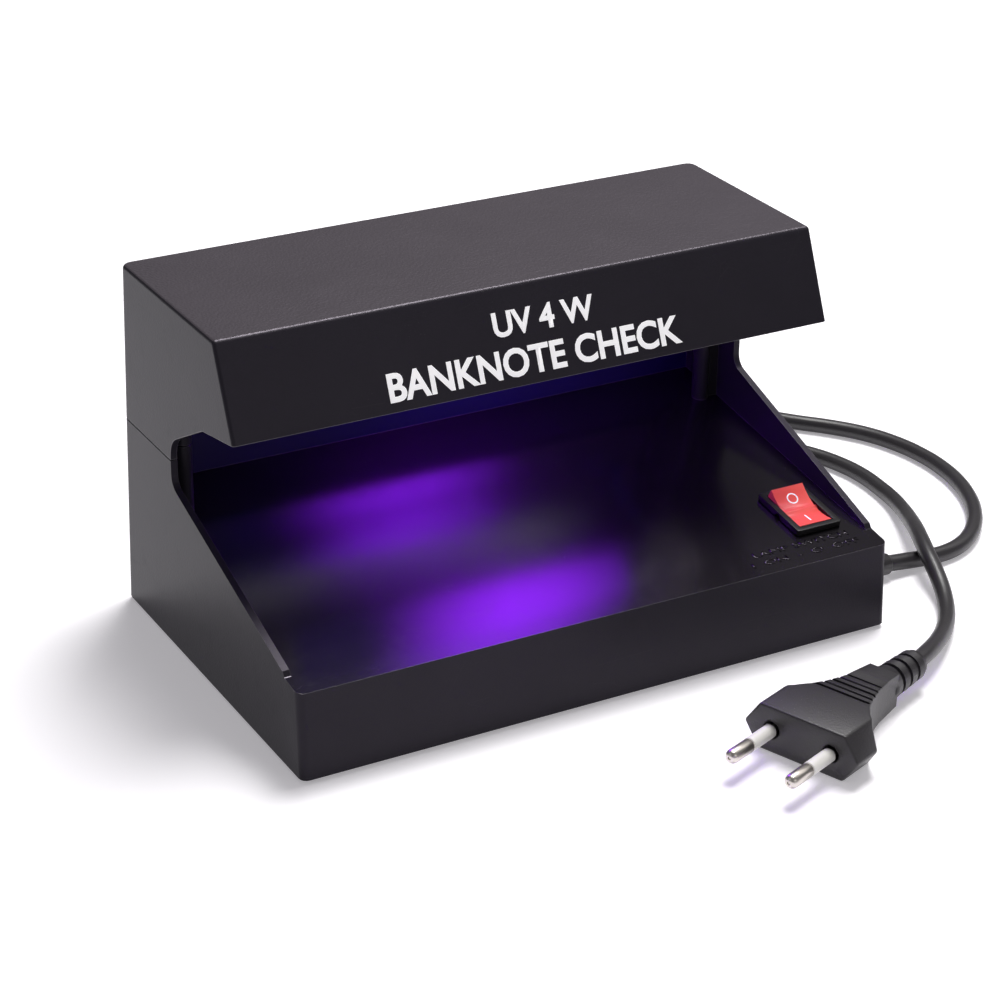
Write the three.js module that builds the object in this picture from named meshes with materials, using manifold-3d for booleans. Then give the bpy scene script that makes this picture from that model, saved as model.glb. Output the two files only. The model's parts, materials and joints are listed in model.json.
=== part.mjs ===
// Counterfeit bill detector: a counter-top case with a hooded ultraviolet tube over a sloped note tray.
//
// Millimetres, +Z up. X runs across the case, to the right of a person facing its front, and Y runs from
// the front to the back. The origin is on the table, under the middle of the case. The case is a hood and
// a tray moulding that meet at a seam, closed below by a plate on four rubber feet. The tube hangs in two
// twist-lock holders under a folded reflector, and its driver board lies on the plate below the tray.

import * as THREE from 'three';
import { mergeVertices } from 'three/addons/utils/BufferGeometryUtils.js';
import Module from 'manifold-3d';

const wasm = await Module();
wasm.setup();

// ---------------------------------------------------------------- driving dimensions

const WIDTH = 185;              // across the case
const DEPTH = 118;              // front to back, at the bottom edge
const HEIGHT = 106;             // table to the top of the hood
const WALL = 2;                 // moulded wall of both shells
const GAP = 0.3;                // between neighbouring pieces
const EDGE_LIFT = 1.2;          // bottom edge of the case above the table

const FRONT_LEAN = 1.8;         // how far the front wall leans back up to the tray lip
const BACK_LEAN = 6.1;          // how far the back wall leans in over the whole height
const CORNER_RADIUS = 3;        // upright corners at the back
const FRONT_CORNER = 2.2;       // upright corners of the tray moulding's front
const HOOD_CORNER = 1.1;        // corners of the hood's front face
const TOP_ROUND = 1;            // rounding of the hood's top edge

const LIP_HEIGHT = 26.2;        // front edge of the tray
const TRAY_TILT = THREE.MathUtils.degToRad(8);
const TRAY_BACK_INSET = 11.5;   // tray's rear end to the foot of the back wall
const INNER_BACK = 1.8;         // wall behind the tray

const CHEEK_STEP_INSET = 11;    // front of the side cheeks behind the front wall's foot
const CHEEK_STEP = 1.2;         // height of the cheek's front step over the tray
const CHEEK_RISE = 14.4;        // cheek above the tray where its slope meets the neck
const NECK_DEPTH = 37.1;        // the case behind the opening, at the bottom edge's back
const SEAM_OVER_CHEEK = 7.4;    // seam above the top of the cheek's slope
const NECK_OVER_SEAM = 5.8;     // where the hood's side starts to rake forward, above the seam

const HOOD_FACE = 25.2;         // height of the hood's front face
const HOOD_REACH = 79.8;        // hood's front lip ahead of the back wall's foot
const HOOD_TOP_REACH = 68.7;    // hood's top front edge ahead of the back wall's foot
const HOOD_SIDE_RUN = 20;       // level part of the hood's side edge, behind the lip
const HOOD_SIDE_DROP = 3.6;     // how far that edge falls over its run
const TONGUE = 1;               // locating rib inside the seam
const TONGUE_RISE = 2.6;        // its height above the seam

const POST_INSET = 7.5;         // hood posts from the outside of the case
const POST_BACK = 28;           // hood posts ahead of the back wall's foot
const POST_RADIUS = 2.5;
const SCREW_SHANK = 1.15;       // shank radius of every case screw
const SCREW_HOLE = 1.45;        // clearance hole radius
const PILOT_DEPTH = 12;         // screw engagement in the hood
const HEAD_RADIUS = 2.7;
const HEAD_HEIGHT = 1.9;

const PLATE = 2;                // base plate thickness
const PLATE_LIFT = 1.5;         // its underside above the table
const PLATE_SCREW_INSET_X = 10.5;
const PLATE_SCREW_INSET_FRONT = 8.6;
const PLATE_SCREW_INSET_BACK = 12.5;
const BOSS_RADIUS = 3.25;
const FOOT_RADIUS = 6;
const FOOT_HEIGHT = 2.2;
const FOOT_INSET_X = 20;
const FOOT_INSET_Y = 16;
const VENT_COUNT = 8;
const VENT_PITCH = 6;
const VENT_LENGTH = 26;
const VENT_WIDTH = 2.4;

const TUBE_LENGTH = 136;        // over the end caps of a 4 W tube
const CAP_RADIUS = 8;
const CAP_LENGTH = 12;
const GLASS_RADIUS = 7.5;
const GLASS_WALL = 0.8;
const PIN_SPACING = 4.75;
const PIN_RADIUS = 1.18;
const PIN_LENGTH = 7;
const TUBE_DROP = 16.5;         // tube axis below the top of the hood
const TUBE_BACK = 46;           // tube axis ahead of the back wall's foot

const HOLDER_THICK = 11;
const HOLDER_WIDTH = 19;
const HOLDER_BELOW = 9;         // holder below the tube axis
const ROTOR_RADIUS = 6;
const ROTOR_THICK = 5.2;

const SHEET = 0.8;              // reflector sheet
const REFLECTOR_DROP = 5;       // top of the reflector below the top of the hood
const REFLECTOR_SIDE = 12.1;    // reflector's end from the outside of the case
const REFLECTOR_SCREW_X = 45;
const WIRE_HOLE = 6;

const BEZEL_LENGTH = 21;        // rocker switch, along the tray's slope
const BEZEL_WIDTH = 15;
const BEZEL_THICK = 2;
const BODY_LENGTH = 19;
const BODY_WIDTH = 12.8;
const BODY_DEPTH = 12.8;
const ROCKER_WIDTH = 10.8;
const ROCKER_HALF = 7.9;        // half length over its top edge
const ROCKER_CREST = 3;         // top edge above its pivot
const ROCKER_DISH = 2.1;        // how far its middle dips
const ROCKER_SKIRT = 3.3;       // rocker below its pivot
const ROCKER_THROW = THREE.MathUtils.degToRad(20);
const PIVOT_RISE = 0.3;         // pivot above the tray
const TRUNNION = 1;
const SWITCH_INSET_X = 15.3;    // switch centre from the outside of the case
const SWITCH_INSET_Y = 24.5;    // switch centre behind the front wall's foot
const TERMINAL_WIDTH = 4.8;
const TERMINAL_THICK = 0.8;
const TERMINAL_REACH = 6.2;

const BOARD = { length: 90, width: 46, thick: 1.6, x: -18, y: 2 };
const STANDOFF = 5.2;           // board above the plate

const CORD_RADIUS = 2.5;
const CORD_SIDES = 10;
const EXIT_INSET_Y = 25.5;      // cord exit behind the front wall's foot
const EXIT_HEIGHT = 6;
const RELIEF_LENGTH = 19;
const RELIEF_DROOP = THREE.MathUtils.degToRad(5.5);
const RELIEF_ROOT = 4.1;
const RELIEF_TIP = 3.2;
const LEAD_RADIUS = 0.8;

// The free cord, chosen point by point: out of the side, round behind the case and into the coil ...
const CORD_START = [
  [111.7, -33.5, 4.15], [117, -33.5, 3.64], [123, -33.6, 3.1], [129, -33.6, 2.75], [134.9, -33, 2.6],
  [140.8, -31.1, 2.6], [146.8, -27.5, 2.6], [152.8, -22.1, 2.6], [158.4, -15, 2.6], [163.2, -6.3, 2.6],
  [166.8, 3.6, 2.6], [168.8, 14.6, 2.6], [168.8, 26.2, 2.6], [166.6, 37.4, 2.6], [162.2, 47.8, 2.6],
  [155.3, 57.3, 2.6], [147.2, 65.9, 2.6], [139.2, 75.6, 2.6], [131, 86.7, 2.6], [121.6, 99, 2.6],
  [110, 111.6, 2.65], [95.5, 125, 2.8],
];
// ... and out of the coil, over its own start and up into the plug.
const CORD_END = [
  [83, 68, 7.9], [95, 67.6, 6.2], [106, 66, 4.6], [116.5, 62.8, 3.3], [125.5, 57.5, 2.65],
  [132.5, 50.3, 2.6], [137.6, 42.2, 2.6], [141, 33.3, 2.6], [142.7, 22.5, 2.6], [142.2, 12, 2.65],
  [140.6, 3, 3.1], [137.4, -6, 4.3], [133.2, -15, 6.1], [128.6, -24.2, 7.8], [124.2, -33.2, 8.4],
  [121, -40.6, 7.9], [118.6, -48, 6], [116, -54.8, 4], [112.4, -61.2, 2.9], [107.8, -67.4, 2.8],
  [102.6, -73, 3.4], [97, -78.1, 4.5], [91.3, -82.6, 5.6], [85.8, -86.3, 6.5], [80.1, -89.5, 7],
];
const COIL = { x: 60, y: 103, inner: 22.05, outer: 35.8, bottom: 1.15, layers: 2 };
const TIE = { width: 4, thick: 0.75, head: 4.5 };

const PLUG = { x: 27.3, y: -110, z: 7, heading: THREE.MathUtils.degToRad(201.2) };
const PLUG_WIDTH = 36;
const PLUG_THICK = 13.7;
const PLUG_BLOCK = 9.5;         // full-width part behind the pin face
const PLUG_BODY = 40;           // pin face to the ribbed relief
const PLUG_RELIEF = 16;
const PLUG_NECK = 4.6;          // half width where the relief starts
const PLUG_CHAMFER = 4.6;       // long edges of the block
const PLUG_SHOULDER = 8;        // how fast the block gives way to the neck
const PLUG_FLAT = 15.5;         // flat of the top and bottom, from the pin face
const PLUG_THINNING = 1.9;      // top and bottom towards the relief
const PLUG_COLLAR = 4.9;        // first rib of the relief
const PLUG_RIBS = 4;
const PLUG_RIB_TAPER = 0.15;
const PLUG_RIB_SHARE = 0.62;    // rib against groove along the relief
const PLUG_GROOVE = 3.9;        // radius in the relief's grooves
const PLUG_PIN_SEAT = 8;        // pins moulded into the body
const PLUG_PIN_SPACING = 18.6;
const PLUG_PIN_RADIUS = 2;
const PLUG_PIN_LENGTH = 19;
const PLUG_SLEEVE = 10;         // insulated part of each pin

// ---------------------------------------------------------------- finishes

const FINISH = {
  blackPlastic: { color: 0x1c1c1f, roughness: 0.45, metalness: 0 },
  darkPlastic: { color: 0x141416, roughness: 0.55, metalness: 0 },
  rubber: { color: 0x101010, roughness: 0.85, metalness: 0 },
  cordRubber: { color: 0x232326, roughness: 0.6, metalness: 0 },
  redPlastic: { color: 0xd8261c, roughness: 0.25, metalness: 0 },
  whitePlastic: { color: 0xe9e7e0, roughness: 0.5, metalness: 0 },
  reflector: { color: 0xc9ccd0, roughness: 0.35, metalness: 0.8 },
  steel: { color: 0xb9bcc0, roughness: 0.35, metalness: 1 },
  aluminium: { color: 0xc6c8ca, roughness: 0.4, metalness: 1 },
  brass: { color: 0xb99a4e, roughness: 0.35, metalness: 1 },
  violetGlass: { color: 0x2a1454, roughness: 0.1, metalness: 0 },
  board: { color: 0x8a6b3a, roughness: 0.7, metalness: 0 },
  ferrite: { color: 0x2b2b2d, roughness: 0.6, metalness: 0.2 },
  copperTape: { color: 0xc9a23a, roughness: 0.5, metalness: 0.2 },
  leadRed: { color: 0xa01d18, roughness: 0.5, metalness: 0 },
  leadBlue: { color: 0x1d3f8c, roughness: 0.5, metalness: 0 },
};

// ---------------------------------------------------------------- solids

const X = new THREE.Vector3(1, 0, 0);
const Y = new THREE.Vector3(0, 1, 0);
const Z = new THREE.Vector3(0, 0, 1);

/** A closed three.js geometry as a solid that can be joined and cut. */
function solid(geometry) {
  const bare = geometry.clone();
  bare.deleteAttribute('normal');
  bare.deleteAttribute('uv');
  const merged = mergeVertices(bare, 1e-4);
  const index = merged.index.array;
  const kept = [];
  for (let i = 0; i < index.length; i += 3) {
    const [a, b, c] = [index[i], index[i + 1], index[i + 2]];
    if (a !== b && b !== c && c !== a) kept.push(a, b, c);
  }
  return new wasm.Manifold(new wasm.Mesh({
    numProp: 3,
    vertProperties: new Float32Array(merged.attributes.position.array),
    triVerts: new Uint32Array(kept),
  }));
}

/** A solid as a geometry to show. */
function geometryOf(body) {
  const mesh = body.getMesh();
  const geometry = new THREE.BufferGeometry();
  geometry.setAttribute('position', new THREE.BufferAttribute(new Float32Array(mesh.vertProperties), 3));
  geometry.setIndex(new THREE.BufferAttribute(new Uint32Array(mesh.triVerts), 1));
  geometry.computeVertexNormals();
  return geometry;
}

const joined = (...bodies) => bodies.reduce((all, body) => all.add(body));
const cut = (body, ...tools) => tools.reduce((left, tool) => left.subtract(tool), body);

/** A box between two corners. */
function box(x0, x1, y0, y1, z0, z1, turn) {
  const geometry = new THREE.BoxGeometry(x1 - x0, y1 - y0, z1 - z0);
  geometry.translate((x0 + x1) / 2, (y0 + y1) / 2, (z0 + z1) / 2);
  if (turn) geometry.applyMatrix4(turn);
  return solid(geometry);
}

/** A lathe body round Z from a list of [radius, z], which starts and ends on the axis or closes on itself. */
function turned(profile, sides, place) {
  const points = profile.map(([radius, z]) => new THREE.Vector2(radius, z));
  const geometry = new THREE.LatheGeometry(points, sides);
  geometry.rotateX(Math.PI / 2);
  geometry.rotateZ(Math.PI / sides);
  if (place) geometry.applyMatrix4(place);
  const body = solid(geometry);
  return body.volume() > 0 ? body : solid(flipped(geometry));
}

/** The same geometry with its faces turned over. */
function flipped(geometry) {
  const index = geometry.index.array;
  for (let i = 0; i < index.length; i += 3) {
    const swapped = index[i + 1];
    index[i + 1] = index[i + 2];
    index[i + 2] = swapped;
  }
  return geometry;
}

/** A round bar up Z. */
const rod = (x, y, z0, z1, radius, sides = 20) => turned(
  [[0, z0], [radius, z0], [radius, z1], [0, z1]], sides, new THREE.Matrix4().makeTranslation(x, y, 0));

/** A round bar along X. */
const rodAlongX = (x0, x1, y, z, radius, sides = 24) => turned(
  [[0, x0], [radius, x0], [radius, x1], [0, x1]], sides,
  new THREE.Matrix4().makeBasis(Y, Z, X).setPosition(0, y, z));

/** An outline of [y, z] points pushed along X. */
function prismAlongX(outline, x0, x1) {
  const shape = new THREE.Shape(outline.map(([y, z]) => new THREE.Vector2(y, z)));
  const geometry = new THREE.ExtrudeGeometry(shape, { depth: x1 - x0, bevelEnabled: false });
  geometry.applyMatrix4(new THREE.Matrix4().makeBasis(Y, Z, X));
  geometry.translate(x0, 0, 0);
  return solid(geometry);
}

/** An outline of [x, y] points pushed up Z. */
function prismAlongZ(outline, z0, z1) {
  const shape = new THREE.Shape(outline.map(([x, y]) => new THREE.Vector2(x, y)));
  const geometry = new THREE.ExtrudeGeometry(shape, { depth: z1 - z0, bevelEnabled: false });
  geometry.translate(0, 0, z0);
  return solid(geometry);
}

const ARC_STEPS_PER_MM = 1.2;

/** A closed outline whose [a, b, radius] corners are rounded by arcs. */
function rounded(corners) {
  const points = [];
  corners.forEach(([a, b, radius = 0], i) => {
    const here = new THREE.Vector2(a, b);
    if (radius === 0) {
      points.push([a, b]);
      return;
    }
    const before = corners[(i + corners.length - 1) % corners.length];
    const after = corners[(i + 1) % corners.length];
    const back = new THREE.Vector2(before[0], before[1]).sub(here).normalize();
    const ahead = new THREE.Vector2(after[0], after[1]).sub(here).normalize();
    const half = Math.acos(THREE.MathUtils.clamp(back.dot(ahead), -1, 1)) / 2;
    const reach = radius / Math.tan(half);
    const middle = back.clone().add(ahead).normalize().multiplyScalar(radius / Math.sin(half)).add(here);
    const start = back.clone().multiplyScalar(reach).add(here).sub(middle);
    const end = ahead.clone().multiplyScalar(reach).add(here).sub(middle);
    const turn = Math.atan2(start.cross(end), start.dot(end));
    const steps = Math.max(2, Math.round(radius * ARC_STEPS_PER_MM));
    for (let step = 0; step <= steps; step += 1) {
      const spot = start.clone().rotateAround(new THREE.Vector2(), turn * step / steps).add(middle);
      points.push([spot.x, spot.y]);
    }
  });
  return points;
}

/** A bent strip of even thickness: the outline on the left of a path of [y, z] points. */
function strip(path, thickness) {
  const points = path.map(([y, z]) => new THREE.Vector2(y, z));
  const side = points.map((point, i) => {
    const into = points[Math.max(i, 1)].clone().sub(points[Math.max(i, 1) - 1]).normalize();
    const next = Math.min(i + 1, points.length - 1);
    const out = points[next].clone().sub(points[next - 1]).normalize();
    const normal = into.clone().add(out).normalize().rotateAround(new THREE.Vector2(), Math.PI / 2);
    const half = Math.acos(THREE.MathUtils.clamp(into.dot(out), -1, 1)) / 2;
    return point.clone().addScaledVector(normal, thickness / Math.cos(half));
  });
  return [...points, ...side.reverse()].map((point) => [point.x, point.y]);
}

/** A rounded rectangle seen from above, as points at one height, going anticlockwise. */
function ring({ z, front, back, half, frontRadius, backRadius }, steps = 4) {
  const corners = [
    [half, front, frontRadius, -Math.PI / 2], [half, back, backRadius, 0],
    [-half, back, backRadius, Math.PI / 2], [-half, front, frontRadius, Math.PI],
  ];
  return corners.flatMap(([x, y, radius, start]) => {
    const cx = x - Math.sign(x) * radius;
    const cy = y === front ? y + radius : y - radius;
    return Array.from({ length: steps + 1 }, (_, i) => {
      const angle = start + (Math.PI / 2) * (i / steps);
      return [cx + radius * Math.cos(angle), cy + radius * Math.sin(angle), z];
    });
  });
}

/** A body with flat ends whose sides run straight from each ring to the next one above it. */
function loft(rings) {
  const count = rings[0].length;
  const index = [];
  for (let level = 0; level + 1 < rings.length; level += 1) {
    for (let i = 0; i < count; i += 1) {
      const [a, b] = [level * count + i, level * count + (i + 1) % count];
      index.push(a, b, b + count, a, b + count, a + count);
    }
  }
  const top = (rings.length - 1) * count;
  for (let i = 1; i + 1 < count; i += 1) {
    index.push(0, i + 1, i, top, top + i, top + i + 1);
  }
  const geometry = new THREE.BufferGeometry();
  geometry.setAttribute('position', new THREE.Float32BufferAttribute(rings.flat(2), 3));
  geometry.setIndex(index);
  return solid(geometry);
}

/** A tube of even radius along a smooth curve through points. */
function tube(points, radius, sides, step) {
  const curve = new THREE.CatmullRomCurve3(points.map((point) => new THREE.Vector3(...point)));
  const section = new THREE.Shape(Array.from({ length: sides }, (_, i) => new THREE.Vector2(
    radius * Math.cos(2 * Math.PI * i / sides), radius * Math.sin(2 * Math.PI * i / sides))));
  return solid(new THREE.ExtrudeGeometry(section, {
    extrudePath: curve, steps: Math.max(2, Math.round(curve.getLength() / step)), bevelEnabled: false,
  }));
}

/** A pan-head screw whose shank points along its own +Z, from the seat of its head. */
function screw(length, shank, headRadius, headHeight, place) {
  return turned([
    [0, -headHeight], [headRadius * 0.7, -headHeight], [headRadius, -headHeight * 0.45],
    [headRadius, 0], [shank, 0], [shank, length - shank], [0, length],
  ], 14, place);
}

// ---------------------------------------------------------------- scene helpers

const detector = new THREE.Group();

/** Adds one named piece to a group. */
function add(name, body, finish, parent = detector) {
  const mesh = new THREE.Mesh(geometryOf(body), new THREE.MeshStandardMaterial(FINISH[finish]));
  mesh.name = name;
  parent.add(mesh);
}

const at = (x, y, z) => new THREE.Matrix4().makeTranslation(x, y, z);
const SIDES = [['left', -1], ['right', 1]];

// ---------------------------------------------------------------- case lines

const half = WIDTH / 2;
const front = -DEPTH / 2;
const back = DEPTH / 2;
const frontAt = (z) => front + FRONT_LEAN * z / LIP_HEIGHT;
const backAt = (z) => back - BACK_LEAN * z / HEIGHT;
const trayAt = (y) => LIP_HEIGHT + Math.tan(TRAY_TILT) * (y - front - FRONT_LEAN);

const trayBack = back - TRAY_BACK_INSET;
const neckY = back - NECK_DEPTH;
const cheekTop = trayAt(neckY) + CHEEK_RISE;
const seam = cheekTop + SEAM_OVER_CHEEK;
const hoodLipY = back - HOOD_REACH;
const hoodLip = HEIGHT - HOOD_FACE;
const hoodFrontAt = (z) => hoodLipY + (HOOD_REACH - HOOD_TOP_REACH) * (z - hoodLip) / HOOD_FACE;

/** The ring of the tray moulding, or of a body inset from it. */
const baseRing = (z, inset = 0) => ring({
  z,
  front: frontAt(z) + inset,
  back: backAt(z) - inset,
  half: half - inset,
  frontRadius: Math.max(FRONT_CORNER - inset, 0.5),
  backRadius: Math.max(CORNER_RADIUS - inset, 0.5),
});

/** The ring of the hood, or of a body inset from it. */
const hoodRing = (z, inset = 0) => ring({
  z,
  front: hoodFrontAt(z) + inset,
  back: backAt(z) - inset,
  half: half - inset,
  frontRadius: Math.max(HOOD_CORNER - inset, 0.5),
  backRadius: Math.max(CORNER_RADIUS - inset, 0.5),
});

/** The opening between the hood and the cheeks, as seen from the side. */
function openingOutline() {
  const cheekFront = front + CHEEK_STEP_INSET;
  const ahead = front - 20;
  return rounded([
    [ahead, trayAt(ahead)],
    [cheekFront - 1, trayAt(cheekFront - 1), 1],
    [cheekFront, trayAt(cheekFront) + CHEEK_STEP, 0.6],
    [neckY, cheekTop, 4.5],
    [neckY, seam + NECK_OVER_SEAM, 8],
    [hoodLipY + HOOD_SIDE_RUN, hoodLip - HOOD_SIDE_DROP, 4],
    [hoodLipY, hoodLip],
    [ahead, hoodLip],
  ]);
}

const postX = half - POST_INSET;
const postY = back - POST_BACK;
const plateTop = PLATE_LIFT + PLATE;
const plateScrews = ['front', 'rear'].flatMap((end) => SIDES.map(([side, sign]) => ({
  name: `${end}_${side}`,
  x: sign * (half - PLATE_SCREW_INSET_X),
  y: end === 'front' ? front + PLATE_SCREW_INSET_FRONT : back - PLATE_SCREW_INSET_BACK,
})));

// ---------------------------------------------------------------- switch and tube places

const switchX = half - SWITCH_INSET_X;
const switchY = front + SWITCH_INSET_Y;
const trayFrame = new THREE.Matrix4().makeRotationX(TRAY_TILT).setPosition(switchX, switchY, trayAt(switchY));
const tubeY = back - TUBE_BACK;
const tubeZ = HEIGHT - TUBE_DROP;
const capEnd = TUBE_LENGTH / 2;
const exitY = front + EXIT_INSET_Y;
const holderFace = capEnd + 0.4;
const holderX = holderFace + HOLDER_THICK / 2;
const leadX = holderX - 2;      // lamp leads rise here, behind the tray

// ---------------------------------------------------------------- case

/** Tray, cheeks, front, sides and back in one moulding, open below. */
function lowerShell() {
  const outside = loft([baseRing(EDGE_LIFT), baseRing(seam - GAP / 2)]);
  const opening = prismAlongX(openingOutline(), -half - 5, half + 5);
  const bay = prismAlongX([
    [front + CHEEK_STEP_INSET - 3, trayAt(front + CHEEK_STEP_INSET - 3)], [trayBack, trayAt(trayBack)],
    [trayBack, seam + 5], [front + CHEEK_STEP_INSET - 3, seam + 5],
  ], -half + WALL, half - WALL);
  const inside = loft([baseRing(EDGE_LIFT - 1, WALL), baseRing(seam + 5, WALL)]);
  const trayUnder = prismAlongX([
    [front - 5, EDGE_LIFT - 2], [trayBack + INNER_BACK + 0.01, EDGE_LIFT - 2],
    [trayBack + INNER_BACK + 0.01, trayAt(trayBack + INNER_BACK) - WALL],
    [front - 5, trayAt(front - 5) - WALL],
  ], -half, half);
  const behindTray = box(-half, half, trayBack + INNER_BACK, back + 5, EDGE_LIFT - 2, seam + 10);
  const hollow = inside.intersect(trayUnder.add(behindTray));
  let shell = cut(outside, opening, bay, hollow);

  const tongue = cut(
    loft([baseRing(seam - 4, WALL - 0.2), baseRing(seam + TONGUE_RISE, WALL - 0.2)]),
    loft([baseRing(seam - 5, WALL + GAP + TONGUE), baseRing(seam + 5, WALL + GAP + TONGUE)]),
    box(-half, half, front - 5, trayBack + INNER_BACK + 1, seam - 6, seam + 6),
    cut(loft([baseRing(seam - GAP / 2, -1), baseRing(seam + 6, -1)]),
      loft([baseRing(seam - 5, WALL + GAP), baseRing(seam + 7, WALL + GAP)])),
    ...SIDES.map(([, sign]) => box(
      sign * leadX - 4, sign * leadX + 4, trayBack, back, seam - 6, seam + 6)),
  );
  shell = shell.add(tongue);

  SIDES.forEach(([, sign]) => {
    const foot = trayAt(postY) - WALL / 2;
    const web = sign > 0 ? [postX, half - WALL / 2] : [-half + WALL / 2, -postX];
    shell = joined(shell,
      rod(sign * postX, postY, foot, seam - GAP / 2, POST_RADIUS),
      box(web[0], web[1], postY - 0.9, postY + 0.9, foot, seam - GAP / 2));
  });
  plateScrews.forEach(({ x, y }) => {
    shell = shell.add(rod(x, y, plateTop + GAP, trayAt(y) - WALL / 2, BOSS_RADIUS));
  });

  const holes = [
    ...SIDES.map(([, sign]) => rod(sign * postX, postY, EDGE_LIFT, seam + 1, SCREW_HOLE, 14)),
    ...plateScrews.map(({ x, y }) => rod(x, y, 0, plateTop + 12, SCREW_HOLE, 14)),
    box(-BODY_WIDTH / 2 - GAP, BODY_WIDTH / 2 + GAP, -BODY_LENGTH / 2 - GAP, BODY_LENGTH / 2 + GAP,
      -WALL - 2, 1, trayFrame),
    rodAlongX(half - WALL - 1, half + 1, exitY, EXIT_HEIGHT, 3.8),
  ];
  return cut(shell, ...holes);
}

/** Hood: roof, front face, sides and back in one moulding, open below. */
function upperShell() {
  const rim = [0, 0.3, 0.62, 0.86, 1].map((share) => {
    const angle = share * Math.PI / 2;
    return hoodRing(HEIGHT - TOP_ROUND * (1 - Math.sin(angle)), TOP_ROUND * (1 - Math.cos(angle)));
  });
  const outside = loft([hoodRing(seam + GAP / 2), ...rim]);
  const inside = loft([hoodRing(seam - 2, WALL), hoodRing(HEIGHT - WALL, WALL)]);
  let shell = cut(outside, prismAlongX(openingOutline(), -half - 5, half + 5), inside);
  const roof = HEIGHT - WALL / 2;
  SIDES.forEach(([, sign]) => {
    const web = sign > 0 ? [postX, half - WALL / 2] : [-half + WALL / 2, -postX];
    shell = joined(shell,
      rod(sign * postX, postY, seam + GAP / 2, roof, POST_RADIUS),
      box(web[0], web[1], postY - 0.9, postY + 0.9, seam + GAP / 2, roof),
      rod(sign * REFLECTOR_SCREW_X, tubeY + 18, HEIGHT - REFLECTOR_DROP + GAP, roof, POST_RADIUS, 14));
  });
  return cut(shell,
    ...SIDES.map(([, sign]) => rod(sign * postX, postY, seam - 1, seam + PILOT_DEPTH + 1, SCREW_HOLE, 14)),
    ...SIDES.map(([, sign]) => rod(sign * REFLECTOR_SCREW_X, tubeY + 18, HEIGHT - REFLECTOR_DROP - 1,
      HEIGHT - WALL + 0.8, SCREW_HOLE, 14)));
}

/** Bottom plate with its vents, screw seats, foot sockets and board standoffs. */
function basePlate() {
  const rim = (z) => baseRing(plateTop, WALL + GAP).map(([x, y]) => [x, y, z]);
  let plate = loft([rim(PLATE_LIFT), rim(plateTop)]);
  boardScrews.forEach(({ x }) => {
    plate = plate.add(rod(x, BOARD.y, plateTop - 0.5, plateTop + STANDOFF - GAP, POST_RADIUS, 14));
  });
  const vents = Array.from({ length: VENT_COUNT }, (_, i) => {
    const x = BOARD.x + (i - (VENT_COUNT - 1) / 2) * VENT_PITCH;
    return box(x - VENT_WIDTH / 2, x + VENT_WIDTH / 2, BOARD.y - VENT_LENGTH / 2,
      BOARD.y + VENT_LENGTH / 2, 0, plateTop + 1);
  });
  return cut(plate, ...vents,
    ...plateScrews.map(({ x, y }) => rod(x, y, 0, plateTop + 1, SCREW_HOLE, 14)),
    ...plateScrews.map(({ x, y }) => rod(x, y, 0, PLATE_LIFT + 0.8, HEAD_RADIUS + 0.4, 14)),
    ...feet.map(({ x, y }) => rod(x, y, 0, FOOT_HEIGHT + GAP, FOOT_RADIUS + GAP, 24)),
    ...boardScrews.map(({ x }) => rod(x, BOARD.y, plateTop + 1, plateTop + STANDOFF, SCREW_HOLE, 14)),
    ...clampScrews.map(({ y }) => rod(clampX, y, 0, plateTop + 1, SCREW_HOLE, 14)),
    box(half - WALL - 5, half, exitY - 5.6, exitY + 5.6, 0, plateTop + 1));
}

const feet = ['front', 'rear'].flatMap((end) => SIDES.map(([side, sign]) => ({
  name: `foot_${end}_${side}`,
  x: sign * (half - FOOT_INSET_X),
  y: end === 'front' ? front + FOOT_INSET_Y : back - FOOT_INSET_Y,
})));
const boardScrews = SIDES.map(([side, sign]) => ({
  side, x: BOARD.x + sign * (BOARD.length / 2 - 4),
}));
const clampX = half - 32;
const clampScrews = [['front', -1], ['rear', 1]].map(([end, sign]) => ({ end, y: exitY + sign * 7.4 }));

add('lower_shell', lowerShell(), 'blackPlastic');
add('upper_shell', upperShell(), 'blackPlastic');
add('base_plate', basePlate(), 'darkPlastic');

feet.forEach(({ name, x, y }) => {
  add(name, turned([
    [0, 0], [FOOT_RADIUS - 0.6, 0], [FOOT_RADIUS, 0.5], [FOOT_RADIUS, FOOT_HEIGHT], [0, FOOT_HEIGHT],
  ], 24, at(x, y, 0)), 'rubber');
});
plateScrews.forEach(({ name, x, y }) => {
  const seat = PLATE_LIFT + 0.8 - GAP;
  add(`base_screw_${name}`, screw(11, SCREW_SHANK, HEAD_RADIUS, seat - 0.45, at(x, y, seat)), 'steel');
});
SIDES.forEach(([side, sign]) => {
  const seat = trayAt(postY - HEAD_RADIUS) - WALL - GAP - 0.1;
  const length = seam + PILOT_DEPTH - seat;
  add(`hood_screw_${side}`, screw(length, SCREW_SHANK, HEAD_RADIUS, HEAD_HEIGHT,
    at(sign * postX, postY, seat)), 'steel');
});

// ---------------------------------------------------------------- lamp

/** Folded sheet over the tube: a skirt behind it, a roof above it and a lip in front of it. */
function reflector() {
  const top = HEIGHT - REFLECTOR_DROP;
  const rear = trayBack - 0.5;
  const skirt = seam + 1.6;
  const path = [
    [rear, skirt], [rear, top - 12], [rear - 10, top], [tubeY - 12, top],
    [hoodFrontAt(top - 7.5) + WALL + 1, top - 7.5],
  ];
  const reach = half - REFLECTOR_SIDE;
  return cut(prismAlongX(strip(path, SHEET), -reach, reach),
    ...SIDES.map(([, sign]) => box(sign * leadX - WIRE_HOLE / 2, sign * leadX + WIRE_HOLE / 2,
      rear - 3, rear + 3, tubeZ - 14.5, tubeZ - 14.5 + WIRE_HOLE)),
    ...SIDES.map(([, sign]) => rod(sign * REFLECTOR_SCREW_X, tubeY + 18, top - 3, top + 2, SCREW_HOLE, 14)));
}

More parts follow.
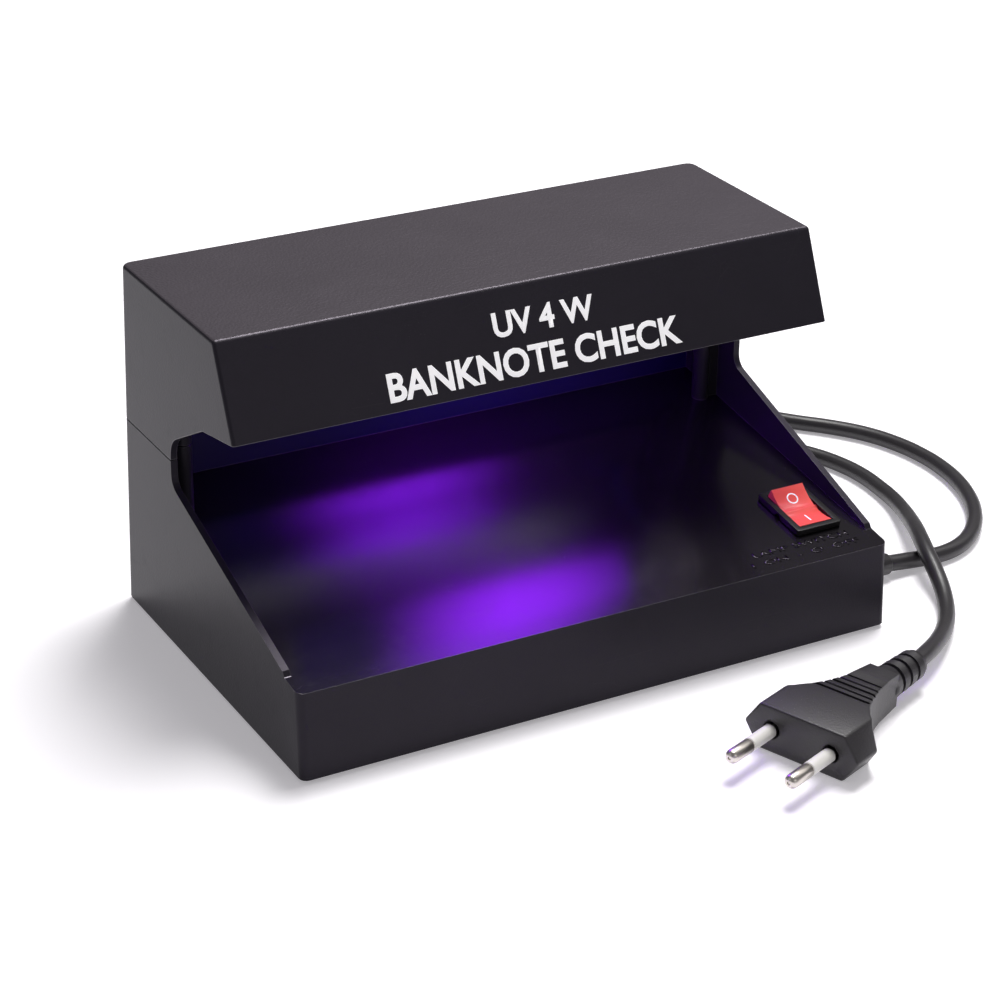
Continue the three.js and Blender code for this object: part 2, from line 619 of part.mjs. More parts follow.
add('reflector', reflector(), 'reflector');
SIDES.forEach(([side, sign]) => {
  const seat = HEIGHT - REFLECTOR_DROP - SHEET - GAP;
  add(`reflector_screw_${side}`, screw(3.8, SCREW_SHANK, HEAD_RADIUS, HEAD_HEIGHT,
    at(sign * REFLECTOR_SCREW_X, tubeY + 18, seat)), 'steel');
});

const lamp = new THREE.Group();
lamp.position.set(0, tubeY, tubeZ);
detector.add(lamp);

add('uv_tube_glass', turned([
  [GLASS_RADIUS - GLASS_WALL, -capEnd + 3], [GLASS_RADIUS, -capEnd + 3], [GLASS_RADIUS, capEnd - 3],
  [GLASS_RADIUS - GLASS_WALL, capEnd - 3], [GLASS_RADIUS - GLASS_WALL, -capEnd + 3],
], 24, new THREE.Matrix4().makeBasis(Y, Z, X)), 'violetGlass', lamp);

SIDES.forEach(([side, sign]) => {
  const along = (a, b) => (sign > 0 ? [a, b] : [-b, -a]);
  const pins = [['front', -PIN_SPACING / 2], ['rear', PIN_SPACING / 2]];

  const cap = cut(
    rodAlongX(...along(capEnd - CAP_LENGTH, capEnd), 0, 0, CAP_RADIUS, 28),
    rodAlongX(...along(capEnd - CAP_LENGTH - 1, capEnd - 2), 0, 0, GLASS_RADIUS + GAP, 24),
    ...pins.map(([, y]) => rodAlongX(...along(capEnd - 3, capEnd + 1), y, 0, PIN_RADIUS + GAP, 12)),
  );
  add(`tube_cap_${side}`, cap, 'aluminium', lamp);
  pins.forEach(([place, y]) => {
    add(`tube_pin_${side}_${place}`,
      rodAlongX(...along(capEnd - 2, capEnd + PIN_LENGTH), y, 0, PIN_RADIUS, 12), 'brass', lamp);
  });

  const face = holderFace;
  const pocket = face + PIN_LENGTH + 0.5;
  const slot = PIN_RADIUS + GAP;
  add(`lampholder_rotor_${side}`, cut(
    rodAlongX(...along(face + 0.6, face + 0.6 + ROTOR_THICK), 0, 0, ROTOR_RADIUS, 24),
    box(...along(face, face + 8), -PIN_SPACING / 2 - slot, PIN_SPACING / 2 + slot, -slot, slot),
  ), 'whitePlastic', lamp);

  const top = HEIGHT - REFLECTOR_DROP - SHEET - GAP - tubeZ;
  const holder = prismAlongX(rounded([
    [-HOLDER_WIDTH / 2, -HOLDER_BELOW, 3], [HOLDER_WIDTH / 2, -HOLDER_BELOW, 3],
    [HOLDER_WIDTH / 2, top], [-HOLDER_WIDTH / 2, top],
  ]), ...along(face, face + HOLDER_THICK));
  add(`lampholder_${side}`, cut(holder,
    rodAlongX(...along(face - 1, pocket), 0, 0, ROTOR_RADIUS + GAP, 24),
    box(...along(face - 1, pocket), -slot, slot, -HOLDER_BELOW - 1, 0),
  ), 'whitePlastic', lamp);
});

// ---------------------------------------------------------------- switch

const switchGroup = new THREE.Group();
switchGroup.applyMatrix4(trayFrame);
detector.add(switchGroup);

const rockerReach = Math.hypot(ROCKER_HALF, ROCKER_CREST);
const windowHalf = rockerReach + GAP;

/** Bezel and box of the switch, open above for the rocker and slotted below for its terminals. */
function switchHousing() {
  const bezel = prismAlongZ(rounded([
    [-BEZEL_WIDTH / 2, -BEZEL_LENGTH / 2, 0.8], [BEZEL_WIDTH / 2, -BEZEL_LENGTH / 2, 0.8],
    [BEZEL_WIDTH / 2, BEZEL_LENGTH / 2, 0.8], [-BEZEL_WIDTH / 2, BEZEL_LENGTH / 2, 0.8],
  ]), GAP, BEZEL_THICK);
  const body = box(-BODY_WIDTH / 2, BODY_WIDTH / 2, -BODY_LENGTH / 2, BODY_LENGTH / 2, -BODY_DEPTH, 1);
  const window = box(-ROCKER_WIDTH / 2 - GAP, ROCKER_WIDTH / 2 + GAP, -windowHalf, windowHalf, -9, 5);
  const slots = terminals.map(({ y }) => box(-TERMINAL_WIDTH / 2 - GAP, TERMINAL_WIDTH / 2 + GAP,
    y - TERMINAL_THICK / 2 - GAP, y + TERMINAL_THICK / 2 + GAP, -BODY_DEPTH - 1, -BODY_DEPTH + 2.4));
  return cut(bezel.add(body), window, ...slots,
    rodAlongX(-BODY_WIDTH, BODY_WIDTH, 0, PIVOT_RISE, TRUNNION + 0.25, 16));
}

const terminals = [['front', -5.4], ['rear', 1.6]].map(([end, y]) => ({ end, y }));

/** Rocker in its own frame, its pivot at the origin. */
function rocker() {
  const outline = [];
  const crest = Math.atan2(ROCKER_CREST, ROCKER_HALF);
  const skirt = Math.asin(ROCKER_SKIRT / rockerReach);
  for (let i = 0; i <= 8; i += 1) {
    const y = ROCKER_HALF * (1 - i / 4);
    outline.push([y, ROCKER_CREST - ROCKER_DISH * (1 - (y / ROCKER_HALF) ** 2)]);
  }
  for (let i = 1; i <= 5; i += 1) {
    const angle = Math.PI - crest + (crest + skirt) * i / 5;
    outline.push([rockerReach * Math.cos(angle), rockerReach * Math.sin(angle)]);
  }
  for (let i = 0; i < 5; i += 1) {
    const angle = -skirt + (crest + skirt) * i / 5;
    outline.push([rockerReach * Math.cos(angle), rockerReach * Math.sin(angle)]);
  }
  const ears = ROCKER_WIDTH / 2 + GAP + 0.5;
  return prismAlongX(outline, -ROCKER_WIDTH / 2, ROCKER_WIDTH / 2)
    .add(rodAlongX(-ears, ears, 0, 0, TRUNNION, 16));
}

add('switch_housing', switchHousing(), 'darkPlastic', switchGroup);
const rockerGroup = new THREE.Group();
rockerGroup.position.set(0, 0, PIVOT_RISE);
rockerGroup.rotation.x = ROCKER_THROW / 2;
switchGroup.add(rockerGroup);
add('switch_rocker', rocker(), 'redPlastic', rockerGroup);
terminals.forEach(({ end, y }) => {
  add(`switch_terminal_${end}`, box(-TERMINAL_WIDTH / 2, TERMINAL_WIDTH / 2, y - TERMINAL_THICK / 2,
    y + TERMINAL_THICK / 2, -BODY_DEPTH - TERMINAL_REACH, -BODY_DEPTH + 2.1), 'brass', switchGroup);
});

// ---------------------------------------------------------------- driver board

const boardZ = plateTop + STANDOFF;
const boardTop = boardZ + BOARD.thick;
const onBoard = (dx, dy) => [BOARD.x + dx, BOARD.y + dy];

add('ballast_board', cut(
  box(BOARD.x - BOARD.length / 2, BOARD.x + BOARD.length / 2, BOARD.y - BOARD.width / 2,
    BOARD.y + BOARD.width / 2, boardZ, boardTop),
  ...boardScrews.map(({ x }) => rod(x, BOARD.y, boardZ - 1, boardTop + 1, SCREW_HOLE, 14)),
), 'board');
boardScrews.forEach(({ side, x }) => {
  const seat = boardTop + GAP;
  add(`board_screw_${side}`, screw(seat - plateTop - 1.5, SCREW_SHANK, HEAD_RADIUS, HEAD_HEIGHT,
    new THREE.Matrix4().makeRotationX(Math.PI).setPosition(x, BOARD.y, seat)), 'steel');
});

/** Two E-shaped ferrite halves read as one core: a frame with a middle leg, standing on the board. */
const CORE = { x: 8, y: 2, width: 20, depth: 6, height: 16.5, leg: 3.2 };
const [coreX, coreY] = onBoard(CORE.x, CORE.y);
const coreZ = boardTop + GAP;
add('transformer_core', cut(
  box(coreX - CORE.width / 2, coreX + CORE.width / 2, coreY - CORE.depth / 2, coreY + CORE.depth / 2,
    coreZ, coreZ + CORE.height),
  ...[-1, 1].map((sign) => box(coreX + sign * 4.8 - 2.2, coreX + sign * 4.8 + 2.2,
    coreY - CORE.depth, coreY + CORE.depth, coreZ + CORE.leg, coreZ + CORE.height - CORE.leg)),
), 'ferrite');
add('transformer_coil', cut(
  box(coreX - 7 + GAP, coreX + 7 - GAP, coreY - CORE.depth / 2 - 4, coreY + CORE.depth / 2 + 4,
    coreZ + CORE.leg + GAP, coreZ + CORE.height - CORE.leg - GAP),
  box(coreX - 2.6 - GAP, coreX + 2.6 + GAP, coreY - CORE.depth / 2 - GAP, coreY + CORE.depth / 2 + GAP,
    coreZ, coreZ + CORE.height),
), 'copperTape');

const [canX, canY] = onBoard(-28, 8);
add('filter_capacitor', turned([
  [0, 0], [4.6, 0], [5, 0.4], [5, 1.8], [4.7, 2.3], [5, 2.8], [5, 15.6], [4.6, 16], [0, 16],
], 20, at(canX, canY, boardTop + GAP)), 'ferrite');
const [filmX, filmY] = onBoard(-10, -12);
add('lamp_capacitor', prismAlongZ(rounded([
  [filmX - 7, filmY - 3, 1.2], [filmX + 7, filmY - 3, 1.2], [filmX + 7, filmY + 3, 1.2],
  [filmX - 7, filmY + 3, 1.2],
]), boardTop + GAP, boardTop + 11), 'leadRed');
[['left', 24], ['right', 33]].forEach(([side, dx]) => {
  const [x, y] = onBoard(dx, -14);
  add(`transistor_${side}`, box(x - 2.4, x + 2.4, y - 1.9, y + 1.9, boardTop + GAP, boardTop + 9.5), 'ferrite');
});

// ---------------------------------------------------------------- cord inside the case

const cordLine = EXIT_HEIGHT + 0.35;
const innerEnd = clampX - 6;

/** Moulded bush through the side wall, drooping a little with the cord's weight. */
function cordRelief() {
  const frame = new THREE.Matrix4().makeRotationY(RELIEF_DROOP)
    .setPosition(half, exitY, EXIT_HEIGHT)
    .multiply(new THREE.Matrix4().makeBasis(Y, Z, X));
  return turned([
    [0, -WALL - 2.4], [4.2, -WALL - 2.4], [4.2, -WALL - 0.75], [3.3, -WALL - 0.75], [3.3, 0.75],
    [RELIEF_ROOT, 0.75], [RELIEF_ROOT, 2.2], [RELIEF_TIP, RELIEF_LENGTH], [0, RELIEF_LENGTH],
  ], 20, frame);
}

/** Saddle that holds the cord down on the plate. */
function cordClamp() {
  const arch = rounded([
    [exitY - 10.4, plateTop + GAP], [exitY - CORD_RADIUS - GAP, plateTop + GAP],
    [exitY - CORD_RADIUS - GAP, cordLine + CORD_RADIUS + GAP, 2.6],
    [exitY + CORD_RADIUS + GAP, cordLine + CORD_RADIUS + GAP, 2.6],
    [exitY + CORD_RADIUS + GAP, plateTop + GAP], [exitY + 10.4, plateTop + GAP],
    [exitY + 10.4, plateTop + GAP + 1.6], [exitY + CORD_RADIUS + 1.9, plateTop + GAP + 1.6],
    [exitY + CORD_RADIUS + 1.9, cordLine + CORD_RADIUS + 1.7, 4],
    [exitY - CORD_RADIUS - 1.9, cordLine + CORD_RADIUS + 1.7, 4],
    [exitY - CORD_RADIUS - 1.9, plateTop + GAP + 1.6], [exitY - 10.4, plateTop + GAP + 1.6],
  ]);
  return cut(prismAlongX(arch, clampX - 4, clampX + 4),
    ...clampScrews.map(({ y }) => rod(clampX, y, 0, plateTop + 6, SCREW_HOLE, 14)));
}

add('cord_relief', cordRelief(), 'rubber');
add('inner_cord', rodAlongX(innerEnd, half - WALL - 2.9, exitY, cordLine, CORD_RADIUS, 16), 'cordRubber');
add('cord_clamp', cordClamp(), 'whitePlastic');
clampScrews.forEach(({ end, y }) => {
  const seat = plateTop + GAP + 1.6 + GAP;
  add(`clamp_screw_${end}`, screw(seat - PLATE_LIFT - 0.4, SCREW_SHANK, 2.4, 1.6,
    new THREE.Matrix4().makeRotationX(Math.PI).setPosition(clampX, y, seat)), 'steel');
});

/** A point given in the switch's own frame, in the case's frame. */
const fromSwitch = (x, y, z) => new THREE.Vector3(x, y, z).applyMatrix4(trayFrame).toArray();
const tip = -BODY_DEPTH - TERMINAL_REACH;
const leadStart = innerEnd - GAP;
const frontTip = fromSwitch(-TERMINAL_WIDTH / 2 - LEAD_RADIUS - GAP, terminals[0].y, tip + 2.4);
const rearTip = fromSwitch(-TERMINAL_WIDTH / 2 - LEAD_RADIUS - GAP, terminals[1].y, tip + 2.4);
const boardRight = BOARD.x + BOARD.length / 2;
const leadLevel = boardTop + GAP + LEAD_RADIUS;

add('live_lead', tube([
  [leadStart, exitY - 1.2, cordLine], [leadStart - 5, exitY - 2.5, cordLine + 1],
  [leadStart - 5.5, exitY - 6, cordLine + 5], [leadStart + 2, exitY - 7.5, cordLine + 9],
  [frontTip[0] - 6, frontTip[1], frontTip[2] + 2], frontTip,
], LEAD_RADIUS, 8, 2.5), 'leadRed');
add('switched_lead', tube([
  rearTip, [rearTip[0] - 5, rearTip[1], rearTip[2] + 1], [boardRight + 22, exitY + 14, 14],
  [boardRight + 8, exitY + 20, 14], [boardRight - 3, exitY + 23, leadLevel],
  [boardRight - 7, exitY + 24, leadLevel],
], LEAD_RADIUS, 8, 2.5), 'leadRed');
add('neutral_lead', tube([
  [leadStart, exitY + 1.2, cordLine], [leadStart - 6, exitY + 2.5, cordLine + 0.5],
  [boardRight + 14, exitY + 8, cordLine + 4], [boardRight + 5, exitY + 15, leadLevel + 2],
  [boardRight - 3, exitY + 17.5, leadLevel], [boardRight - 7, exitY + 18, leadLevel],
], LEAD_RADIUS, 8, 2.5), 'leadBlue');

SIDES.forEach(([side, sign]) => {
  const rise = trayBack + INNER_BACK + 1.7;
  const [padX, padY] = onBoard(sign * (BOARD.length / 2 - 12), BOARD.width / 2 - 5);
  const hole = tubeZ - 14.5 + WIRE_HOLE / 2;
  const reach = sign * leadX;
  const holderBack = tubeY + HOLDER_WIDTH / 2 + GAP + LEAD_RADIUS;
  add(`lamp_lead_${side}`, tube([
    [padX, padY - 3, leadLevel], [padX, padY + 3, leadLevel + 0.5], [padX + sign * 6, padY + 12, 15],
    [reach - sign * 5, rise - 5, 21], [reach, rise, 30], [reach, rise, 42], [reach, rise, seam],
    [reach, rise - 0.8, hole - 8], [reach, trayBack - 1, hole], [reach, trayBack - 9, hole + 6],
    [sign * holderX, holderBack + 8, tubeZ - 3], [sign * holderX, holderBack, tubeZ],
  ], LEAD_RADIUS, 8, 3.5), 'leadBlue');
});

// ---------------------------------------------------------------- free cord and plug

add('power_cord_start', tube(CORD_START, CORD_RADIUS, CORD_SIDES, 10.5), 'cordRubber');
add('power_cord_end', tube(CORD_END, CORD_RADIUS, CORD_SIDES, 8.5), 'cordRubber');

const coilIn = COIL.inner - CORD_RADIUS - 0.2;
const coilOut = COIL.outer + CORD_RADIUS + 0.2;
const coilTop = COIL.bottom + COIL.layers * (2 * CORD_RADIUS + 0.05) + 0.05;
add('power_cord_coil', turned([
  [coilIn, COIL.bottom], [coilOut, COIL.bottom], [coilOut, coilTop], [coilIn, coilTop],
  [coilIn, COIL.bottom],
], 40, at(COIL.x, COIL.y, 0)), 'cordRubber');
{
  const outer = [COIL.x - coilOut - GAP - 0.2 - TIE.thick, COIL.x - coilIn + GAP + TIE.thick];
  const low = COIL.bottom - GAP - TIE.thick;
  const high = coilTop + GAP + TIE.thick;
  const [y0, y1] = [COIL.y - TIE.width / 2, COIL.y + TIE.width / 2];
  add('coil_tie', cut(
    box(outer[0], outer[1], y0, y1, low, high)
      .add(box(outer[0] - TIE.head, outer[0] + 0.2, y0 - 1, y1 + 1, high - 7, high - 2)),
    box(outer[0] + TIE.thick, outer[1] - TIE.thick, y0 - 1, y1 + 1, low + TIE.thick, high - TIE.thick),
  ), 'whitePlastic');
}

const plug = new THREE.Group();
plug.position.set(PLUG.x, PLUG.y, PLUG.z);
plug.rotation.z = PLUG.heading;
detector.add(plug);

/** Flat two-pole plug: a bevelled block that narrows in a sweep to a ribbed relief. */
function plugBody() {
  const w = PLUG_WIDTH / 2;
  const t = PLUG_THICK / 2;
  const sweep = (sign) => new THREE.CubicBezierCurve(
    new THREE.Vector2(-PLUG_BLOCK, sign * w),
    new THREE.Vector2(-PLUG_BLOCK - PLUG_SHOULDER / 2, sign * (w - PLUG_SHOULDER)),
    new THREE.Vector2(-PLUG_BODY + 2 * PLUG_SHOULDER, sign * (PLUG_NECK + 0.5)),
    new THREE.Vector2(-PLUG_BODY, sign * PLUG_NECK),
  ).getPoints(7).map((point) => [point.x, point.y]);
  const plan = prismAlongZ([[0, -w], [0, w], ...sweep(1), ...sweep(-1).reverse()], -t, t);
  const c = w - PLUG_CHAMFER;
  const section = prismAlongX([[-w, 0], [-c, -t], [c, -t], [w, 0], [c, t], [-c, t]], -PLUG_BODY - 1, 1);
  const thin = t - PLUG_THINNING;
  const side = new THREE.ExtrudeGeometry(new THREE.Shape([
    [0.5, -t], [-PLUG_FLAT, -t], [-PLUG_BODY, -thin], [-PLUG_BODY, thin], [-PLUG_FLAT, t], [0.5, t],
  ].map(([x, z]) => new THREE.Vector2(x, z))), { depth: 2 * w + 2, bevelEnabled: false });
  side.rotateX(Math.PI / 2);
  side.translate(0, w + 1, 0);
  const ribs = [];
  const pitch = PLUG_RELIEF / PLUG_RIBS;
  for (let i = 0; i < PLUG_RIBS; i += 1) {
    const from = -i * pitch;
    const to = from - pitch * PLUG_RIB_SHARE;
    const radius = PLUG_COLLAR - PLUG_RIB_TAPER * i;
    ribs.push([radius, from], [radius, to], [PLUG_GROOVE, to], [PLUG_GROOVE, from - pitch]);
  }
  const relief = turned([
    [0, 1], [PLUG_COLLAR, 1], ...ribs.slice(0, -1), [PLUG_GROOVE, -PLUG_RELIEF], [0, -PLUG_RELIEF],
  ], 20, new THREE.Matrix4().makeBasis(Y, Z, X).setPosition(-PLUG_BODY, 0, 0));
  const seats = [-1, 1].map((sign) => rodAlongX(-PLUG_PIN_SEAT, 1, sign * PLUG_PIN_SPACING / 2, 0,
    PLUG_PIN_RADIUS + GAP, 16));
  return cut(plan.intersect(section).intersect(solid(side)).add(relief), ...seats);
}

add('plug_body', plugBody(), 'cordRubber', plug);
SIDES.forEach(([side, sign]) => {
  const y = -sign * PLUG_PIN_SPACING / 2;
  add(`plug_sleeve_${side}`, cut(
    rodAlongX(GAP, PLUG_SLEEVE, y, 0, PLUG_PIN_RADIUS, 16),
    rodAlongX(-1, PLUG_SLEEVE + 1, y, 0, PLUG_PIN_RADIUS - 0.6, 16),
  ), 'whitePlastic', plug);
  add(`plug_pin_${side}`, turned([
    [0, GAP - PLUG_PIN_SEAT], [PLUG_PIN_RADIUS - 0.9, GAP - PLUG_PIN_SEAT],
    [PLUG_PIN_RADIUS - 0.9, PLUG_SLEEVE + GAP],
    [PLUG_PIN_RADIUS, PLUG_SLEEVE + GAP], [PLUG_PIN_RADIUS, PLUG_PIN_LENGTH - 1.2],
    [PLUG_PIN_RADIUS - 0.5, PLUG_PIN_LENGTH - 0.3], [0, PLUG_PIN_LENGTH],
  ], 16, new THREE.Matrix4().makeBasis(Y, Z, X).setPosition(0, y, 0)), 'steel', plug);
});

export default detector;
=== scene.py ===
"""Looks of a counterfeit bill detector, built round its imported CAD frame.

Metres, +Z up, +X to the right of a person facing the case, +Y to its back. The case shells, switch, lamp, plug,
screws and feet are modelled here as finished pieces on the places of their CAD nodes, the free cord is one
curve of its real length, and the hidden electrics keep their CAD shapes with better materials.
"""

import json
import logging
import math
from collections import defaultdict
from collections.abc import Callable
from dataclasses import dataclass
from enum import Enum

import bpy
from mathutils import Matrix, Vector

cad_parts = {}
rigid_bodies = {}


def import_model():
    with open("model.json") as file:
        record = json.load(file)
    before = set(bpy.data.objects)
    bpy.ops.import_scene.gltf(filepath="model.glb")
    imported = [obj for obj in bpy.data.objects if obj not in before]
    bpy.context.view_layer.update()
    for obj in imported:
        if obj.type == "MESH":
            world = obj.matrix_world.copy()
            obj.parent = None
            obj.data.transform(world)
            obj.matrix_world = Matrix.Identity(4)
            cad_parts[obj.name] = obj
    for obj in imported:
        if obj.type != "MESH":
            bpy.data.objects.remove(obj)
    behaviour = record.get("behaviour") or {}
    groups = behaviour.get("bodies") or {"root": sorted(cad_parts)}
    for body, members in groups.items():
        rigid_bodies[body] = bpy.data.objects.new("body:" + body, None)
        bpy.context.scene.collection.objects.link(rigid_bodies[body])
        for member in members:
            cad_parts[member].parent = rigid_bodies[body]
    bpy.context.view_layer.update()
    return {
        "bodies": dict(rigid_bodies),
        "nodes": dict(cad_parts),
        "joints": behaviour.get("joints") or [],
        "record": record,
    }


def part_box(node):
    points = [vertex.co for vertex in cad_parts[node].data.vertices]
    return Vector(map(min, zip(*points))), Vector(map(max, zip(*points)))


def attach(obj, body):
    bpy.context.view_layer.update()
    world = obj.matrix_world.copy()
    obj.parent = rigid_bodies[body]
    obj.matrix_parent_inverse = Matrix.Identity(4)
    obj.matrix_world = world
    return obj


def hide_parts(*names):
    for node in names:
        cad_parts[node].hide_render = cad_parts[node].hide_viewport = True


MM = 0.001
DOUBLES = 1e-6
FLAT_WITHIN = math.radians(0.6)
log = logging.getLogger("detector")
Colour = tuple[float, float, float]


class Body(Enum):
    """The rigid bodies that pieces ride on."""

    CASE = "case"
    TUBE = "tube"
    ROCKER = "rocker"


class Side(Enum):
    """Left and right of the case, as a sign along X."""

    LEFT = -1
    RIGHT = 1

    @property
    def word(self) -> str:
        """The side's name as the CAD nodes spell it."""
        return self.name.lower()


# ---- shader groups


class NodeBook:
    """Lays out shader nodes in one tree."""

    def __init__(self, tree: bpy.types.NodeTree) -> None:
        """Args:
            tree: the node tree that the nodes are added to.
        """
        self.tree = tree

    def add(self, kind: str, **values: object) -> bpy.types.Node:
        """Adds a node and sets its properties and the inputs named in values.

        Args:
            kind: the node's type name.
            values: properties of the node, or input sockets with spaces written as underscores.

        Returns:
            The new node.
        """
        node = self.tree.nodes.new(kind)
        for key, value in values.items():
            if hasattr(node, key):
                setattr(node, key, value)
            else:
                node.inputs[key.replace("_", " ")].default_value = value
        return node

    def link(self, out: bpy.types.NodeSocket, into: bpy.types.NodeSocket) -> None:
        """Joins one socket to another."""
        self.tree.links.new(out, into)

    def texture(self, kind: str, vector: bpy.types.NodeSocket, scale: bpy.types.NodeSocket,
                **values: object) -> bpy.types.Node:
        """Adds a texture node with its vector and scale joined up.

        Args:
            kind: the last part of the node's type name.
            vector: where the texture is read.
            scale: the texture's scale.
            values: other properties and inputs.

        Returns:
            The new node.
        """
        node = self.add(f"ShaderNodeTex{kind}", **values)
        self.link(vector, node.inputs["Vector"])
        self.link(scale, node.inputs["Scale"])
        return node

    def math(self, operation: str, a: object, b: object = 0.0,
             clamp: bool = False) -> bpy.types.NodeSocket:
        """Adds a Math node.

        Args:
            operation: what the node does.
            a: its first input, a number or a socket.
            b: its second input, a number or a socket.
            clamp: whether the result stays between 0 and 1.

        Returns:
            The node's result socket.
        """
        node = self.add("ShaderNodeMath", operation=operation, use_clamp=clamp)
        for socket, value in zip(node.inputs, (a, b)):
            if isinstance(value, bpy.types.NodeSocket):
                self.link(value, socket)
            else:
                socket.default_value = value
        return node.outputs[0]

    def ramp(self, value: bpy.types.NodeSocket, low: float, high: float, to_low: float = 0.0,
             to_high: float = 1.0) -> bpy.types.NodeSocket:
        """Maps a value from one range to another, smoothly and clamped.

        Args:
            value: the socket that is mapped.
            low: where the input range starts.
            high: where the input range ends.
            to_low: what low becomes.
            to_high: what high becomes.

        Returns:
            The mapped value's socket.
        """
        node = self.add("ShaderNodeMapRange", interpolation_type="SMOOTHSTEP")
        self.link(value, node.inputs["Value"])
        for name, number in (("From Min", low), ("From Max", high), ("To Min", to_low), ("To Max", to_high)):
            node.inputs[name].default_value = number
        return node.outputs["Result"]

    def mix(self, factor: bpy.types.NodeSocket, a: object, b: object) -> bpy.types.NodeSocket:
        """Mixes two colours.

        Args:
            factor: how much of b shows.
            a: a colour or a colour socket.
            b: a colour or a colour socket.

        Returns:
            The mixed colour's socket.
        """
        node = self.add("ShaderNodeMix", data_type="RGBA")
        self.link(factor, node.inputs["Factor"])
        for socket, value in ((node.inputs[6], a), (node.inputs[7], b)):
            if isinstance(value, bpy.types.NodeSocket):
                self.link(value, socket)
            else:
                socket.default_value = (*value, 1.0)
        return node.outputs[2]


class EffectGroups:
    """The effects that several finishes share, each built once as a node group."""

    def __init__(self) -> None:
        """Builds every group."""
        self.grain = self._grain()
        self.mottle = self._mottle()
        self.scuffs = self._scuffs()
        self.dust = self._dust()
        self.streaks = self._streaks()

    @staticmethod
    def _start(name: str, inputs: dict[str, float], outputs: tuple[str, ...]) -> tuple[NodeBook, dict, dict]:
        """Makes a group with a vector input, numbered inputs and value outputs.

        Args:
            name: the group's name.
            inputs: the number inputs and their defaults.
            outputs: the names of the value outputs.

        Returns:
            The group's book, its inner input sockets and its inner output sockets.
        """
        tree = bpy.data.node_groups.new(name, "ShaderNodeTree")
        tree.interface.new_socket("Vector", in_out="INPUT", socket_type="NodeSocketVector")
        for key, value in inputs.items():
            socket = tree.interface.new_socket(key, in_out="INPUT", socket_type="NodeSocketFloat")
            socket.default_value = value
        for key in outputs:
            tree.interface.new_socket(key, in_out="OUTPUT", socket_type="NodeSocketFloat")
        book = NodeBook(tree)
        ins = book.add("NodeGroupInput").outputs
        outs = book.add("NodeGroupOutput").inputs
        return book, ins, outs

    def _grain(self) -> bpy.types.NodeTree:
        """Fine leather-like pebbles of moulded plastic.

        Returns:
            The group, which puts out Height.
        """
        book, ins, outs = self._start("moulded_grain", {"Scale": 1500.0, "Irregularity": 0.5}, ("Height",))
        coarse = book.math("MULTIPLY", ins["Scale"], 0.4)
        warp = book.texture("Noise", ins["Vector"], coarse, Detail=2.0)
        pebbles = book.texture("Voronoi", ins["Vector"], ins["Scale"], feature="SMOOTH_F1", Smoothness=0.6)
        rough = book.math("MULTIPLY", warp.outputs["Fac"], ins["Irregularity"])
        height = book.math("SUBTRACT", rough, pebbles.outputs["Distance"])
        book.link(book.ramp(height, -0.9, 0.5), outs["Height"])
        return book.tree

    def _mottle(self) -> bpy.types.NodeTree:
        """Slow uneven patches, as flow and handling leave.

        Returns:
            The group, which puts out Patches and Smears.
        """
        book, ins, outs = self._start("slow_mottle", {"Scale": 30.0, "Contrast": 1.0}, ("Patches", "Smears"))
        slow = book.texture("Noise", ins["Vector"], ins["Scale"], Detail=4.0, Roughness=0.55)
        spread = book.math("MULTIPLY", book.math("SUBTRACT", slow.outputs["Fac"], 0.5), ins["Contrast"])
        book.link(book.math("ADD", spread, 0.5, clamp=True), outs["Patches"])
        fine = book.math("MULTIPLY", ins["Scale"], 2.3)
        smear = book.texture("Noise", ins["Vector"], fine, Detail=6.0, Roughness=0.7, Distortion=1.2)
        book.link(book.ramp(smear.outputs["Fac"], 0.5, 0.72), outs["Smears"])
        return book.tree

    def _scuffs(self) -> bpy.types.NodeTree:
        """Sparse hair-fine scratches in two directions.

        Returns:
            The group, which puts out Mask.
        """
        book, ins, outs = self._start("hair_scratches", {"Scale": 40.0, "Rarity": 0.985}, ("Mask",))
        masks = []
        for turn, stretch in ((0.5, (1.0, 0.03, 1.0)), (2.1, (0.04, 1.0, 1.0))):
            place = book.add("ShaderNodeMapping")
            place.inputs["Rotation"].default_value = (turn * 0.3, turn * 0.2, turn)
            place.inputs["Scale"].default_value = stretch
            book.link(ins["Vector"], place.inputs["Vector"])
            lines = book.texture("Voronoi", place.outputs["Vector"], ins["Scale"],
                                 feature="DISTANCE_TO_EDGE")
            thin = book.math("LESS_THAN", lines.outputs["Distance"], 0.004)
            patch = book.texture("Noise", ins["Vector"], ins["Scale"], Detail=1.0)
            limit = book.math("MULTIPLY", ins["Rarity"], 0.62)
            rare = book.math("GREATER_THAN", patch.outputs["Fac"], limit)
            masks.append(book.math("MULTIPLY", thin, rare))
        book.link(book.math("MAXIMUM", *masks), outs["Mask"])
        return book.tree

    def _dust(self) -> bpy.types.NodeTree:
        """Settled specks, thicker on faces that look up.

        Returns:
            The group, which puts out Mask.
        """
        book, ins, outs = self._start("settled_dust", {"Scale": 900.0, "Amount": 0.5}, ("Mask",))
        specks = book.texture("Voronoi", ins["Vector"], ins["Scale"], feature="F1")
        dot = book.ramp(specks.outputs["Distance"], 0.05, 0.16, 1.0, 0.0)
        wide = book.math("MULTIPLY", ins["Scale"], 0.06)
        patch = book.texture("Noise", ins["Vector"], wide, Detail=3.0)
        where = book.ramp(patch.outputs["Fac"], 0.52, 0.7)
        normal = book.add("ShaderNodeSeparateXYZ")
        book.link(book.add("ShaderNodeNewGeometry").outputs["Normal"], normal.inputs[0])
        upward = book.ramp(normal.outputs["Z"], 0.2, 0.9)
        mask = book.math("MULTIPLY", book.math("MULTIPLY", dot, where), upward)
        book.link(book.math("MULTIPLY", mask, ins["Amount"]), outs["Mask"])
        return book.tree

